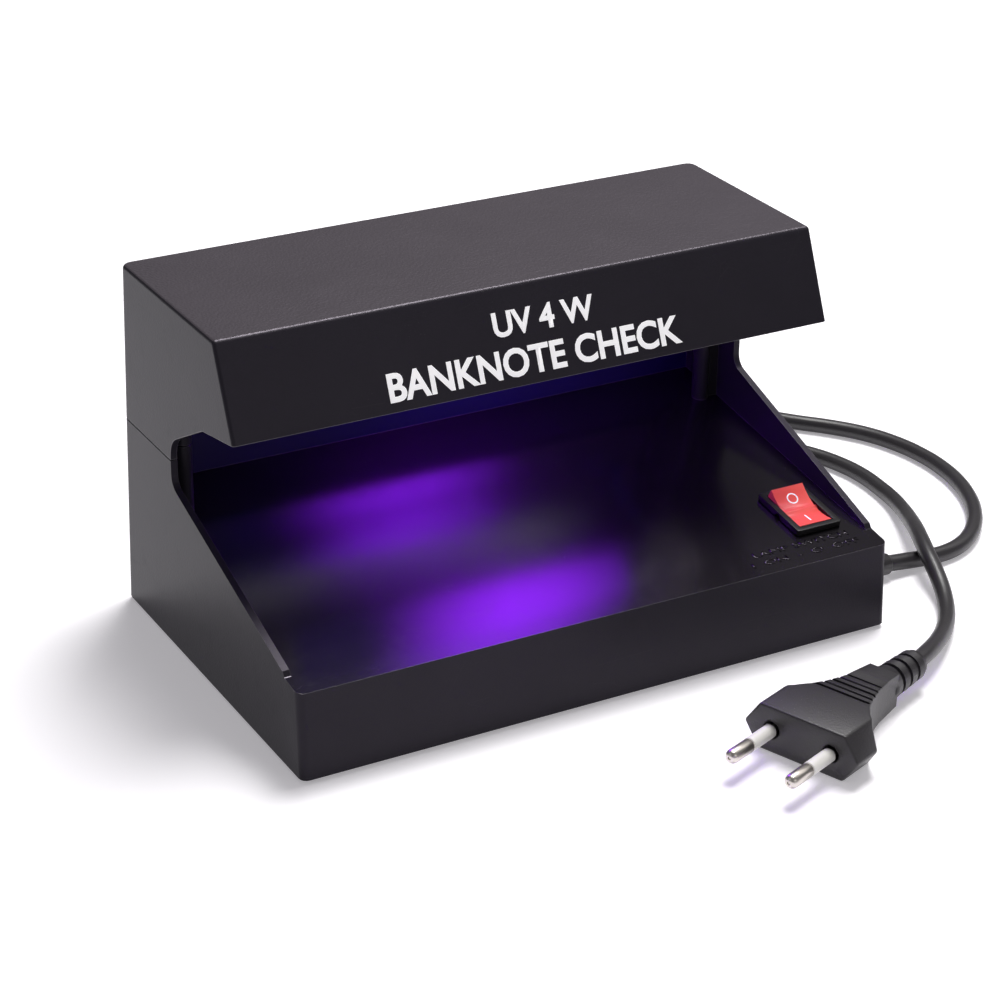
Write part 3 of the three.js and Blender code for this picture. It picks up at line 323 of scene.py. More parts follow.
    def _streaks(self) -> bpy.types.NodeTree:
        """Drawn or brushed lines along X.

        Returns:
            The group, which puts out Height.
        """
        book, ins, outs = self._start("drawn_streaks", {"Scale": 900.0, "Length": 0.02}, ("Height",))
        stretch = book.add("ShaderNodeCombineXYZ", Y=1.0, Z=1.0)
        book.link(ins["Length"], stretch.inputs["X"])
        place = book.add("ShaderNodeVectorMath", operation="MULTIPLY")
        book.link(ins["Vector"], place.inputs[0])
        book.link(stretch.outputs[0], place.inputs[1])
        lines = book.texture("Noise", place.outputs[0], ins["Scale"], Detail=3.0)
        book.link(lines.outputs["Fac"], outs["Height"])
        return book.tree


# ---- finishes


DUST_GREY: Colour = (0.42, 0.4, 0.38)
# Emission colour of every glowing finish: the evenly lit floor, and the print, whose glow is painted brightness
# and not a lamp.
FLOOR_AND_PRINT_GLOW: Colour = (0.98, 0.96, 1.0)
VIOLET_GREY: Colour = (0.93, 0.84, 1.0)


def material_start(name: str) -> tuple[bpy.types.Material, NodeBook, bpy.types.Node]:
    """Makes a material with its usual shader.

    Args:
        name: the material's name.

    Returns:
        The material, the book of its nodes and its Principled shader.
    """
    material = bpy.data.materials.new(name)
    material.use_nodes = True
    return material, NodeBook(material.node_tree), material.node_tree.nodes["Principled BSDF"]


@dataclass(frozen=True)
class Finish:
    """A moulded, dipped, drawn or cast surface."""

    name: str
    colour: Colour
    roughness: float
    metallic: float = 0.0
    grain_scale: float = 1500.0
    grain_depth: float = 0.00004
    mottle: float = 0.10
    roughness_spread: float = 0.03
    scratches: float = 0.05
    dust: float = 0.2
    coat: float = 0.0
    drawn: bool = False
    specular: float = 0.5
    tint: Colour = (1.0, 1.0, 1.0)
    emission: float = 0.0

    def material(self, groups: EffectGroups) -> bpy.types.Material:
        """Builds the material, or returns it if it exists.

        Args:
            groups: the shared effects.

        Returns:
            The material.
        """
        name = f"finish_{self.name}"
        known = bpy.data.materials.get(name)
        if known:
            return known
        material, book, shader = material_start(name)
        place = book.add("ShaderNodeTexCoord").outputs["Object"]

        def effect(tree: bpy.types.NodeTree, **values: float) -> bpy.types.Node:
            """Places a shared group.

            Args:
                tree: the group.
                values: the values of its inputs.

            Returns:
                The group's node.
            """
            node = book.add("ShaderNodeGroup", node_tree=tree)
            book.link(place, node.inputs["Vector"])
            for key, value in values.items():
                node.inputs[key].default_value = value
            return node

        mottle = effect(groups.mottle, Scale=35.0, Contrast=1.4)
        surface = (effect(groups.streaks, Scale=1200.0) if self.drawn
                   else effect(groups.grain, Scale=self.grain_scale))
        scratch = effect(groups.scuffs, Scale=55.0)
        dust = effect(groups.dust, Amount=self.dust)

        dark = tuple(c * (1 - self.mottle) for c in self.colour)
        light = tuple(min(1.0, c * (1 + self.mottle) + 0.002) for c in self.colour)
        colour = book.mix(mottle.outputs["Patches"], dark, light)
        pale = tuple(min(1.0, c * 1.6 + 0.05) for c in self.colour)
        colour = book.mix(book.math("MULTIPLY", scratch.outputs["Mask"], self.scratches), colour, pale)
        colour = book.mix(dust.outputs["Mask"], colour, DUST_GREY)
        book.link(colour, shader.inputs["Base Color"])

        spread = book.math("MULTIPLY", mottle.outputs["Smears"], self.roughness_spread)
        rough = book.math("ADD", spread, self.roughness)
        rough = book.math("ADD", rough, book.math("MULTIPLY", dust.outputs["Mask"], 0.4), clamp=True)
        book.link(rough, shader.inputs["Roughness"])

        bump = book.add("ShaderNodeBump", Strength=1.0, Distance=self.grain_depth)
        book.link(surface.outputs["Height"], bump.inputs["Height"])
        book.link(bump.outputs["Normal"], shader.inputs["Normal"])
        for key, value in (
            ("Metallic", self.metallic), ("Coat Weight", self.coat), ("Coat Roughness", 0.12),
            ("Specular IOR Level", self.specular), ("Specular Tint", (*self.tint, 1.0)),
            ("Emission Color", (*FLOOR_AND_PRINT_GLOW, 1.0)), ("Emission Strength", self.emission),
        ):
            shader.inputs[key].default_value = value
        return material


@dataclass(frozen=True)
class Glow:
    """The lit wall of the ultraviolet tube, brightest in the middle of its length."""

    name: str = "lit_violet_tube"
    colour: Colour = (0.10, 0.02, 0.32)
    core: Colour = (0.29, 0.012, 1.0)
    ends: Colour = (0.001, 0.0, 0.016)
    strength: float = 18.0
    middle: float = 0.017
    half_length: float = 0.052

    def material(self, groups: EffectGroups) -> bpy.types.Material:
        """Builds the material, or returns it if it exists.

        Args:
            groups: the shared effects.

        Returns:
            The material.
        """
        name = f"finish_{self.name}"
        known = bpy.data.materials.get(name)
        if known:
            return known
        material, book, shader = material_start(name)
        place = book.add("ShaderNodeTexCoord").outputs["Object"]
        parts = book.add("ShaderNodeSeparateXYZ")
        book.link(place, parts.inputs[0])
        along = book.math("ABSOLUTE", book.math("SUBTRACT", parts.outputs["X"], self.middle))
        middle = book.ramp(along, 0.0, self.half_length, 1.0, 0.0)
        mottle = book.add("ShaderNodeGroup", node_tree=groups.mottle)
        book.link(place, mottle.inputs["Vector"])
        mottle.inputs["Scale"].default_value = 120.0
        uneven = book.ramp(mottle.outputs["Patches"], 0.2, 0.8, 0.85, 1.0)
        shine = book.math("MULTIPLY", middle, uneven)
        book.link(book.mix(shine, self.ends, self.core), shader.inputs["Emission Color"])
        pale = tuple(c * 1.5 for c in self.colour)
        book.link(book.mix(mottle.outputs["Patches"], self.colour, pale), shader.inputs["Base Color"])
        shader.inputs["Emission Strength"].default_value = self.strength
        shader.inputs["Roughness"].default_value = 0.08
        shader.inputs["Coat Weight"].default_value = 0.5
        return material


@dataclass(frozen=True)
class Palette:
    """Every finish of the detector."""

    # The hood top is the sides' plastic with a coarser grain, but it is painted much lighter: painted light on
    # the top.
    hood: Finish = Finish("hood_top_painted_lighter", (0.043, 0.037, 0.044), 0.42, grain_scale=1300.0,
                          grain_depth=0.00009, specular=0.5, tint=VIOLET_GREY)
    side: Finish = Finish("case_plastic", (0.016, 0.0145, 0.0195), 0.36, grain_scale=1900.0,
                          grain_depth=0.00002, specular=0.15, tint=VIOLET_GREY)
    tray: Finish = Finish("tray_plastic", (0.006, 0.005, 0.0065), 0.17, grain_scale=2400.0,
                          grain_depth=0.000004, specular=0.45, tint=VIOLET_GREY)
    # The bay's back wall is black plastic coloured dark violet: painted violet lamp light.
    inner: Finish = Finish("bay_wall_painted_violet_light", (0.009, 0.002, 0.05), 0.34, grain_scale=1900.0,
                           grain_depth=0.00001, specular=0.25, dust=0.0)
    # The rounded edges are several times lighter and glossier than the faces beside them: partly edge wear,
    # partly a painted highlight.
    edge: Finish = Finish("edge_wear_painted_highlight", (0.10, 0.092, 0.105), 0.30, grain_scale=1500.0, grain_depth=0.00004,
                          mottle=0.4, dust=0.0, specular=0.5)
    bezel: Finish = Finish("switch_black", (0.008, 0.0075, 0.008), 0.34, grain_scale=2200.0,
                           grain_depth=0.00001, specular=0.25)
    plate: Finish = Finish("plate_plastic", (0.012, 0.011, 0.012), 0.5, specular=0.25)
    rubber: Finish = Finish("foot_rubber", (0.012, 0.012, 0.012), 0.82, grain_scale=900.0, grain_depth=0.00008)
    cord: Finish = Finish("cord_rubber", (0.025, 0.023, 0.026), 0.38, grain_scale=1700.0, grain_depth=0.00002,
                          mottle=0.2, dust=0.15)
    plug: Finish = Finish("plug_rubber", (0.024, 0.022, 0.025), 0.42, grain_scale=2300.0, grain_depth=0.00004,
                          dust=0.3)
    red: Finish = Finish("rocker_red", (0.90, 0.105, 0.088), 0.34, grain_scale=2600.0, grain_depth=0.000006,
                         mottle=0.04, dust=0.05, specular=0.22)
    white: Finish = Finish("white_plastic", (0.80, 0.79, 0.75), 0.42, grain_scale=2000.0, grain_depth=0.00001,
                           mottle=0.05, dust=0.1)
    # White print that also glows faintly through emission: the glow is painted brightness, not a lamp.
    print_ink_painted_glow: Finish = Finish("print_white_painted_glow", (0.86, 0.86, 0.86), 0.5, grain_scale=3000.0, grain_depth=0.000008,
                               mottle=0.06, dust=0.0, scratches=0.0, emission=0.25)
    nickel: Finish = Finish("pin_nickel", (0.66, 0.62, 0.57), 0.32, metallic=1.0, drawn=True,
                            grain_depth=0.000006, mottle=0.08)
    steel: Finish = Finish("screw_steel", (0.56, 0.56, 0.58), 0.34, metallic=1.0, drawn=True,
                           grain_depth=0.00001, mottle=0.12)
    sheet: Finish = Finish("reflector_sheet", (0.74, 0.75, 0.77), 0.3, metallic=1.0, drawn=True,
                           grain_depth=0.00001, mottle=0.05)
    brass: Finish = Finish("contact_brass", (0.70, 0.52, 0.24), 0.32, metallic=1.0, drawn=True,
                           grain_depth=0.00001)
    board: Finish = Finish("board_paper", (0.36, 0.22, 0.09), 0.6, grain_scale=500.0, mottle=0.3)
    ferrite: Finish = Finish("ferrite", (0.035, 0.035, 0.038), 0.62, grain_scale=1100.0, grain_depth=0.00008)
    tape: Finish = Finish("coil_tape", (0.70, 0.46, 0.06), 0.34, drawn=True, grain_depth=0.00003, coat=0.2)
    sleeve: Finish = Finish("capacitor_sleeve", (0.03, 0.05, 0.13), 0.3, mottle=0.1)
    dipped: Finish = Finish("dipped_red", (0.46, 0.05, 0.02), 0.25, grain_scale=300.0, coat=0.3)
    lead_red: Finish = Finish("lead_red", (0.46, 0.02, 0.015), 0.4)
    lead_blue: Finish = Finish("lead_blue", (0.02, 0.08, 0.40), 0.4)
    glow: Glow = Glow()


# ---- modelling


class Bench:
    """Modelling by operators, one piece at a time."""

    def __init__(self, groups: EffectGroups, palette: Palette, nodes: dict[str, bpy.types.Object]) -> None:
        """Args:
            groups: the effects that every finish is built from.
            palette: the finishes.
            nodes: the CAD nodes by name.
        """
        self.groups = groups
        self.palette = palette
        self.nodes = nodes

    @staticmethod
    def alone(piece: bpy.types.Object) -> None:
        """Selects one piece and nothing else.

        Args:
            piece: the piece.
        """
        if bpy.context.mode != "OBJECT":
            bpy.ops.object.mode_set(mode="OBJECT")
        bpy.ops.object.select_all(action="DESELECT")
        piece.select_set(True)
        bpy.context.view_layer.objects.active = piece

    def settle(self, piece: bpy.types.Object, name: str, angle: float = 32.0) -> bpy.types.Object:
        """Names a piece, bakes its place into its mesh and smooths it by angle.

        Args:
            piece: the piece.
            name: what it is called.
            angle: edges sharper than this stay sharp, in degrees.

        Returns:
            The same piece.
        """
        self.alone(piece)
        bpy.ops.object.transform_apply(location=True, rotation=True, scale=True)
        bpy.ops.object.shade_smooth_by_angle(angle=math.radians(angle))
        piece.name = name
        piece.data.name = name
        return piece

    def modify(self, piece: bpy.types.Object, kind: str, **values: object) -> None:
        """Adds a modifier with its values and applies it.

        Args:
            piece: the piece.
            kind: the modifier's type name.
            values: its properties.
        """
        self.alone(piece)
        modifier = piece.modifiers.new(kind.lower(), kind)
        for key, value in values.items():
            setattr(modifier, key, value)
        bpy.ops.object.modifier_apply(modifier=modifier.name)

    def outward(self, piece: bpy.types.Object, merge: float = DOUBLES) -> None:
        """Merges a piece's doubles and points its faces outwards.

        Args:
            piece: the piece.
            merge: points closer than this become one.
        """
        self.alone(piece)
        bpy.ops.object.mode_set(mode="EDIT")
        bpy.ops.mesh.select_all(action="SELECT")
        bpy.ops.mesh.remove_doubles(threshold=merge)
        bpy.ops.mesh.normals_make_consistent(inside=False)
        bpy.ops.object.mode_set(mode="OBJECT")

    def refined(self, node: str, name: str, width: float, segments: int = 3, edge_slot: int = -1,
                angle: float = 28.0, chosen: Callable[[Vector], bool] | None = None) -> bpy.types.Object:
        """A copy of a CAD node with its flat faces joined up and its edges rounded.

        Args:
            node: the CAD node's name.
            name: the new piece's name.
            width: the rounding's width.
            segments: the rounding's steps.
            edge_slot: the material slot of the rounding, or -1 for that of its neighbours.
            angle: edges sharper than this are rounded, in degrees.
            chosen: which edges may be rounded, by their middle, or None for all.

        Returns:
            The new piece.
        """
        mesh = self.nodes[node].data.copy()
        mesh.materials.clear()
        piece = bpy.data.objects.new(name, mesh)
        bpy.context.scene.collection.objects.link(piece)
        self.alone(piece)
        bpy.ops.object.mode_set(mode="EDIT")
        bpy.ops.mesh.select_all(action="SELECT")
        bpy.ops.mesh.remove_doubles(threshold=DOUBLES)
        bpy.ops.mesh.dissolve_limited(angle_limit=FLAT_WITHIN)
        bpy.ops.object.mode_set(mode="OBJECT")
        for polygon in piece.data.polygons:
            polygon.material_index = 0
        if edge_slot >= 0:
            while len(piece.data.materials) <= edge_slot:
                piece.data.materials.append(None)
        if chosen:
            self.weigh(piece, angle, chosen)
        self.modify(piece, "BEVEL", width=width, segments=segments,
                    limit_method="WEIGHT" if chosen else "ANGLE", angle_limit=math.radians(angle),
                    material=edge_slot, use_clamp_overlap=not chosen, miter_outer="MITER_ARC")
        self.modify(piece, "TRIANGULATE", min_vertices=5)
        return self.settle(piece, name)

    @staticmethod
    def weigh(piece: bpy.types.Object, angle: float, chosen: Callable[[Vector], bool]) -> None:
        """Marks the sharp edges of a piece that a rounding takes.

        Args:
            piece: the piece.
            angle: edges sharper than this count, in degrees.
            chosen: whether an edge with this middle is taken.
        """
        mesh = piece.data
        sides = defaultdict(list)
        for polygon in mesh.polygons:
            for key in polygon.edge_keys:
                sides[key].append(polygon.normal)
        weights = mesh.attributes.new("bevel_weight_edge", "FLOAT", "EDGE")
        for edge in mesh.edges:
            normals = sides[edge.key]
            middle = (mesh.vertices[edge.vertices[0]].co + mesh.vertices[edge.vertices[1]].co) / 2
            sharp = len(normals) == 2 and normals[0].angle(normals[1]) > math.radians(angle)
            weights.data[edge.index].value = float(sharp and chosen(middle))

    def spun(self, name: str, profile: list[tuple[float, float]], place: Matrix,
             steps: int = 48) -> bpy.types.Object:
        """A turned piece: a profile of (radius, along) drawn by extruding a point, then spun round Z.

        Args:
            name: the piece's name.
            profile: radius and height of each point, starting and ending on the axis or closing on itself.
            place: where the piece goes.
            steps: how many steps the turn has.

        Returns:
            The new piece.
        """
        self.clear()
        bpy.ops.mesh.primitive_plane_add(size=0.001, location=(0, 0, 0))
        piece = bpy.context.active_object
        bpy.ops.object.mode_set(mode="EDIT")
        bpy.ops.mesh.merge(type="CENTER")
        (radius, along), *others = profile
        bpy.ops.transform.translate(value=(radius, 0, along))
        for near, far in zip(profile, others):
            step = (far[0] - near[0], 0, far[1] - near[1])
            bpy.ops.mesh.extrude_region_move(TRANSFORM_OT_translate={"value": step})
        bpy.ops.mesh.select_all(action="SELECT")
        bpy.ops.mesh.spin(steps=steps, angle=2 * math.pi, center=(0, 0, 0), axis=(0, 0, 1))
        bpy.ops.mesh.select_all(action="SELECT")
        bpy.ops.mesh.remove_doubles(threshold=DOUBLES)
        bpy.ops.mesh.normals_make_consistent(inside=False)
        bpy.ops.object.mode_set(mode="OBJECT")
        piece.matrix_world = place
        return self.settle(piece, name)

    @staticmethod
    def clear() -> None:
        """Leaves nothing selected."""
        if bpy.context.mode != "OBJECT":
            bpy.ops.object.mode_set(mode="OBJECT")
        bpy.ops.object.select_all(action="DESELECT")

    def block(self, low: Vector, high: Vector) -> bpy.types.Object:
        """A box between two corners, as the start of a piece or as a cutter.

        Args:
            low: its lowest corner.
            high: its highest corner.

        Returns:
            The new box.
        """
        self.clear()
        bpy.ops.mesh.primitive_cube_add(size=1, location=(low + high) / 2, scale=high - low)
        return bpy.context.active_object

    def carve(self, piece: bpy.types.Object, cutter: bpy.types.Object) -> None:
        """Cuts a shape out of a piece and removes the cutter."""
        self.modify(piece, "BOOLEAN", operation="DIFFERENCE", object=cutter, solver="EXACT")
        bpy.data.objects.remove(cutter)

    def lettering(self, name: str, words: str, height: float, width: float, depth: float, place: Matrix,
                  weight: float = 0.026) -> bpy.types.Object:
        """Thin raised letters of a given cap height and overall width.

        Args:
            name: the piece's name.
            words: what the letters say.
            height: height of the capitals.
            width: width of the whole line.
            depth: how far the letters stand out.
            place: the frame of the line's middle, its baseline along X and its face along Z.
            weight: how much the strokes are thickened, as a share of the line height.

        Returns:
            The new piece.
        """
        self.clear()
        bpy.ops.object.text_add()
        text = bpy.context.active_object
        text.data.body = words
        text.data.align_x = "CENTER"
        text.data.bevel_depth = weight
        text.data.bevel_resolution = 0
        text.data.extrude = weight + 0.01
        text.data.resolution_u = 4
        bpy.ops.object.convert(target="MESH")
        piece = bpy.context.active_object
        low = Vector(map(min, zip(*piece.bound_box)))
        span, tall, deep = Vector(map(max, zip(*piece.bound_box))) - low
        scale = Matrix.Diagonal((width / span, height / tall, depth / deep, 1.0))
        lift = Matrix.Translation((0, -low.y, -low.z))
        piece.matrix_world = place @ scale @ lift
        self.outward(self.settle(piece, name))
        return piece

    def dress(self, piece: bpy.types.Object, *finishes: Finish | Glow) -> bpy.types.Object:
        """Gives a piece its materials, slot by slot.

        Args:
            piece: the piece.
            finishes: a finish for each slot.

        Returns:
            The same piece.
        """
        slots = piece.data.materials
        for index, finish in enumerate(finishes):
            material = finish.material(self.groups)
            if index < len(slots):
                slots[index] = material
            else:
                slots.append(material)
        while len(slots) > len(finishes):
            slots.pop(index=len(slots) - 1)
        return piece

    def place(self, piece: bpy.types.Object, body: Body, slot: str, *nodes: str) -> bpy.types.Object:
        """Rides a piece on its body and hides the CAD nodes that it stands for.

        Args:
            piece: the piece.
            body: what it rides on.
            slot: not used.
            nodes: the CAD nodes that it replaces.

        Returns:
            The same piece.
        """
        if nodes:
            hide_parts(*nodes)
        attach(piece, body.value)
        log.info("%s: %d faces", piece.name, len(getattr(piece.data, "polygons", [])))
        return piece

    def renewed(self, node: str, body: Body, slot: str, finish: Finish, width: float, segments: int = 2,
                angle: float = 28.0) -> None:
        """Puts a finished copy with rounded edges in the place of one CAD node.

        Args:
            node: the CAD node's name.
            body: what the piece rides on.
            slot: passed on to place, which does not use it.
            finish: its finish.
            width: the rounding's width.
            segments: the rounding's steps.
            angle: edges sharper than this are rounded, in degrees.
        """
        piece = self.refined(node, f"{node}_finished", width, segments, angle=angle)
        self.place(self.dress(piece, finish), body, slot, node)


# ---- studio


@dataclass(frozen=True)
class SoftLight:
    """One rectangular soft light: where it hangs, its width and height, its watts and its colour."""

    name: str
    place: tuple[float, float, float]
    size: tuple[float, float]
    power: float
    colour: Colour

    def hang(self, aim: Vector) -> None:
        """Adds the light, facing a point.

        Args:
            aim: the point.
        """
        data = bpy.data.lights.new(self.name, "AREA")
        data.shape = "RECTANGLE"
        data.size, data.size_y = self.size
        data.energy = self.power
        data.color = self.colour
        light = bpy.data.objects.new(self.name, data)
        light.location = self.place
        light.rotation_euler = (aim - Vector(self.place)).to_track_quat("-Z", "Y").to_euler()
        bpy.context.scene.collection.objects.link(light)


@dataclass
class Studio:
    """Camera, floor and lights."""

    camera_place: tuple = (-0.3512, -0.6176, 0.3842)
    yaw: float = math.radians(29.49)
    pitch: float = math.radians(26.117)
    roll: float = math.radians(0.894)
    lens: float = 100.4
    sensor: float = 36.0
    nearest: float = 0.01
    floor_size: float = 12.0
    aim: tuple = (0.0, 0.0, 0.05)
    room: Colour = (1.0, 0.97, 1.0)
    room_strength: float = 0.16
    softboxes: tuple[SoftLight, ...] = (
        SoftLight("key_softbox", (1.35, 0.1, 1.15), (0.8, 0.8), 2.5, (1.0, 0.975, 0.965)),
        SoftLight("overhead_softbox", (0.36, 0.26, 1.2), (0.5, 0.6), 17.0, (1.0, 0.99, 0.98)),
        SoftLight("side_softbox", (-1.5, 0.1, 0.75), (0.9, 0.9), 1.2, (0.95, 0.95, 1.0)),
        SoftLight("front_fill", (0.35, -1.6, 0.9), (1.2, 0.7), 2.4, (1.0, 0.99, 0.98)),
    )

    def camera(self) -> None:
        """Places the camera."""
        data = bpy.data.cameras.new("camera")
        data.lens = self.lens
        data.sensor_width = self.sensor
        data.clip_start = self.nearest
        camera = bpy.data.objects.new("camera", data)
        bpy.context.scene.collection.objects.link(camera)
        level = math.cos(self.pitch)
        ahead = Vector((math.sin(self.yaw) * level, math.cos(self.yaw) * level, -math.sin(self.pitch)))
        right = Vector((math.cos(self.yaw), -math.sin(self.yaw), 0))
        above = right.cross(ahead)
        turned = Matrix.Rotation(-self.roll, 3, ahead)
        right, above = turned @ right, turned @ above
        camera.matrix_world = Matrix.Translation(self.camera_place) @ Matrix(
            (right, above, -ahead)).transposed().to_4x4()
        bpy.context.scene.camera = camera

    def floor(self, groups: EffectGroups) -> None:
        """Lays a plain pale floor.

        Args:
            groups: the shared effects.
        """
        Bench.clear()
        bpy.ops.mesh.primitive_plane_add(size=self.floor_size)
        floor = bpy.context.active_object
        floor.name = "floor"
        finish = Finish("pale_floor", (0.90, 0.89, 0.92), 0.8, mottle=0.01, scratches=0.0, dust=0.0,
                        grain_depth=0.00001, specular=0.1, emission=0.30)
        floor.data.materials.append(finish.material(groups))

    def lights(self) -> None:
        """Hangs the soft lights and sets the pale surroundings."""
        for softbox in self.softboxes:
            softbox.hang(Vector(self.aim))
        world = bpy.data.worlds.new("pale_room")
        world.use_nodes = True
        back = world.node_tree.nodes["Background"]
        back.inputs["Color"].default_value = (*self.room, 1.0)
        back.inputs["Strength"].default_value = self.room_strength
        bpy.context.scene.world = world
        view = bpy.context.scene.view_settings
        view.view_transform = "Standard"
        view.look = "None"


# ---- free cord


@dataclass
class FreeCord:
    """The mains cord from the case's side, through its coil behind the case, to the plug.

    The routes and the coil's sizes are in millimetres, the radius and the length in metres.
    """

    radius: float = 0.0025
    start: tuple = (
        (111.7, -33.5, 4.15), (117, -33.5, 3.64), (123, -33.6, 3.1), (129, -33.6, 2.75), (134.9, -33, 2.6),
        (140.8, -31.1, 2.6), (146.8, -27.5, 2.6), (152.8, -22.1, 2.6), (158.4, -15, 2.6), (163.2, -6.3, 2.6),
        (166.8, 3.6, 2.6), (168.8, 14.6, 2.6), (168.8, 26.2, 2.6), (166.6, 37.4, 2.6), (162.2, 47.8, 2.6),
        (155.3, 57.3, 2.6), (147.2, 65.9, 2.6), (139.2, 75.6, 2.6), (131, 86.7, 2.6), (121.6, 99, 2.6),
        (110, 111.6, 2.65), (95.5, 125, 2.8),
    )
    end: tuple = (
        (83, 68, 7.9), (95, 67.6, 6.2), (106, 66, 4.6), (116.5, 62.8, 3.3), (125.5, 57.5, 2.65),
        (132.5, 50.3, 2.6), (137.6, 42.2, 2.6), (141, 33.3, 2.6), (142.7, 22.5, 2.6), (142.2, 12, 2.65),
        (140.6, 3, 3.1), (137.4, -6, 4.3), (133.2, -15, 6.1), (128.6, -24.2, 7.8), (124.2, -33.2, 8.4),
        (121, -40.6, 7.9), (118.6, -48, 6), (116, -54.8, 4), (112.4, -61.2, 2.9), (107.8, -67.4, 2.8),
        (102.6, -73, 3.4), (97, -78.1, 4.5), (91.3, -82.6, 5.6), (85.8, -86.3, 6.5), (80.1, -89.5, 7),
    )
    coil_centre: tuple = (60.0, 103.0)
    coil_inner: float = 22.05
    coil_outer: float = 35.8
    coil_from: float = math.radians(72)
    coil_turns: float = 5.545
    coil_low: float = 3.7
    layer: float = 5.05
    climb: float = 0.022
    steps_per_turn: int = 16
    declared_length: float = 1.5

    def coil(self) -> list[tuple[float, float, float]]:
        """Points of the coil: inwards along the lower layer, up, and outwards along the upper one.

        Returns:
            The points, in millimetres.
        """
        count = round(self.coil_turns * self.steps_per_turn)
        points = []
        for i in range(count + 1):
            share = i / count
            angle = self.coil_from + 2 * math.pi * self.coil_turns * share
            inward = min(1.0, (share if share < 0.5 else 1 - share) / (0.5 - self.climb))
            rise = min(1.0, max(0.0, (share - 0.5 + self.climb) / (2 * self.climb)))
            rise = rise * rise * (3 - 2 * rise)
            radius = self.coil_outer + (self.coil_inner - self.coil_outer) * inward
            points.append((self.coil_centre[0] + radius * math.cos(angle),
                           self.coil_centre[1] + radius * math.sin(angle),
                           self.coil_low + self.layer * rise))
        return points

    def route(self) -> list[Vector]:
        """The whole centreline, in metres."""
        return [Vector(p) * MM for p in (*self.start, *self.coil(), *self.end)]

    def build(self, bench: Bench, pieces: list[bpy.types.Object]) -> bpy.types.Object:
        """Args:
            bench: the modelling bench.
            pieces: not used.

        Returns:
            The cord.
        """
        points = self.route()
        curve = bpy.data.curves.new("power_cord", "CURVE")
        curve.dimensions = "3D"
        curve.bevel_depth = self.radius
        curve.bevel_resolution = 6
        curve.resolution_u = 5
        curve.use_fill_caps = True
        spline = curve.splines.new("BEZIER")
        spline.bezier_points.add(len(points) - 1)
        for knot, point in zip(spline.bezier_points, points):
            knot.co = point
            knot.handle_left_type = "AUTO"
            knot.handle_right_type = "AUTO"
        cord = bpy.data.objects.new("power_cord", curve)
        bpy.context.scene.collection.objects.link(cord)
        bench.dress(cord, bench.palette.cord)
        bench.place(cord, Body.CASE, "cord_rubber", "power_cord_start", "power_cord_end", "power_cord_coil")
        return cord


@dataclass
class Plug:
    """The two-pin plug at the cord's end.

    The place, the grip's grooves and the pin spacing are in millimetres, the other sizes in metres.
    """

    place: tuple = (27.3, -110.0, 7.0)
    heading: float = math.radians(201.2)
    edge_round: float = 0.0007
    rounded_to: float = -0.036
    grip_from: float = 19.0
    grip_pitch: float = 2.6
    grip_count: int = 5
    grip_half: float = 8.6
    grip_taper: float = 0.75
    groove_half: float = 0.55
    groove_floor: float = 5.3
    groove_top: float = 9.0
    pin_spacing: float = 18.6
    pin_length: float = 0.019
    pin_radius: float = 0.002
    pin_root: float = -0.0076
    core_radius: float = 0.0011
    sleeve_from: float = 0.0003
    sleeve_to: float = 0.010
    sleeve_wall: float = 0.0006

    def frame(self) -> Matrix:
        """The plug's own frame: X out of the pin face, Y across, Z up."""
        return Matrix.Translation(Vector(self.place) * MM) @ Matrix.Rotation(self.heading, 4, "Z")

    def build(self, bench: Bench) -> list[bpy.types.Object]:
        """Models the plug's body, sleeves and pins.

        Args:
            bench: the modelling bench.

        Returns:
            The plug's pieces.
        """
        frame = self.frame()
        back = frame.inverted()
        body = bench.refined("plug_body", "plug", self.edge_round, 3, angle=24.0,
                             chosen=lambda middle: (back @ middle).x > self.rounded_to)
        for top in (1, -1):
            for i in range(self.grip_count):
                reach = -(self.grip_from + i * self.grip_pitch)
                half = self.grip_half - self.grip_taper * i
                cutter = bench.block(Vector((reach - self.groove_half, -half, self.groove_floor)) * MM,
                                     Vector((reach + self.groove_half, half, self.groove_top)) * MM)
                if top < 0:
                    cutter.matrix_world = Matrix.Rotation(math.pi, 4, "X") @ cutter.matrix_world
                cutter.matrix_world = frame @ cutter.matrix_world
                bench.carve(body, cutter)
        bench.settle(body, "plug", 30.0)
        bench.dress(body, bench.palette.plug)
        pieces = [bench.place(body, Body.CASE, "cord_rubber", "plug_body")]
        for side in Side:
            across = Matrix.Translation((0, -side.value * self.pin_spacing / 2 * MM, 0))
            stand = frame @ across @ Matrix.Rotation(math.pi / 2, 4, "Y")
            r, tip, bore = self.pin_radius, self.pin_length, self.pin_radius - self.sleeve_wall
            near, far = self.sleeve_from, self.sleeve_to
            sleeve = bench.spun(f"plug_sleeve_{side.word}_finished", [
                (bore, near), (r - 0.0001, near), (r, near + 0.0002), (r, far - 0.0002), (r - 0.0002, far),
                (bore, far), (bore, near)], stand, 32)
            bench.dress(sleeve, bench.palette.white)
            pieces.append(bench.place(sleeve, Body.CASE, "white_plastic", f"plug_sleeve_{side.word}"))
            pin = bench.spun(f"plug_pin_{side.word}_finished", [
                (0, self.pin_root), (self.core_radius, self.pin_root), (self.core_radius, far + 0.0003),
                (r - 0.0001, far + 0.0003), (r, far + 0.0005),
                (r, tip - 0.0016), (r - 0.00015, tip - 0.0009), (r - 0.0005, tip - 0.0004),
                (r - 0.001, tip - 0.0001), (0.0005, tip), (0.00035, tip - 0.0004), (0, tip - 0.0005)],
                stand, 32)
            bench.dress(pin, bench.palette.nickel)
            pieces.append(bench.place(pin, Body.CASE, "pin_nickel", f"plug_pin_{side.word}"))
        return pieces


# ---- case


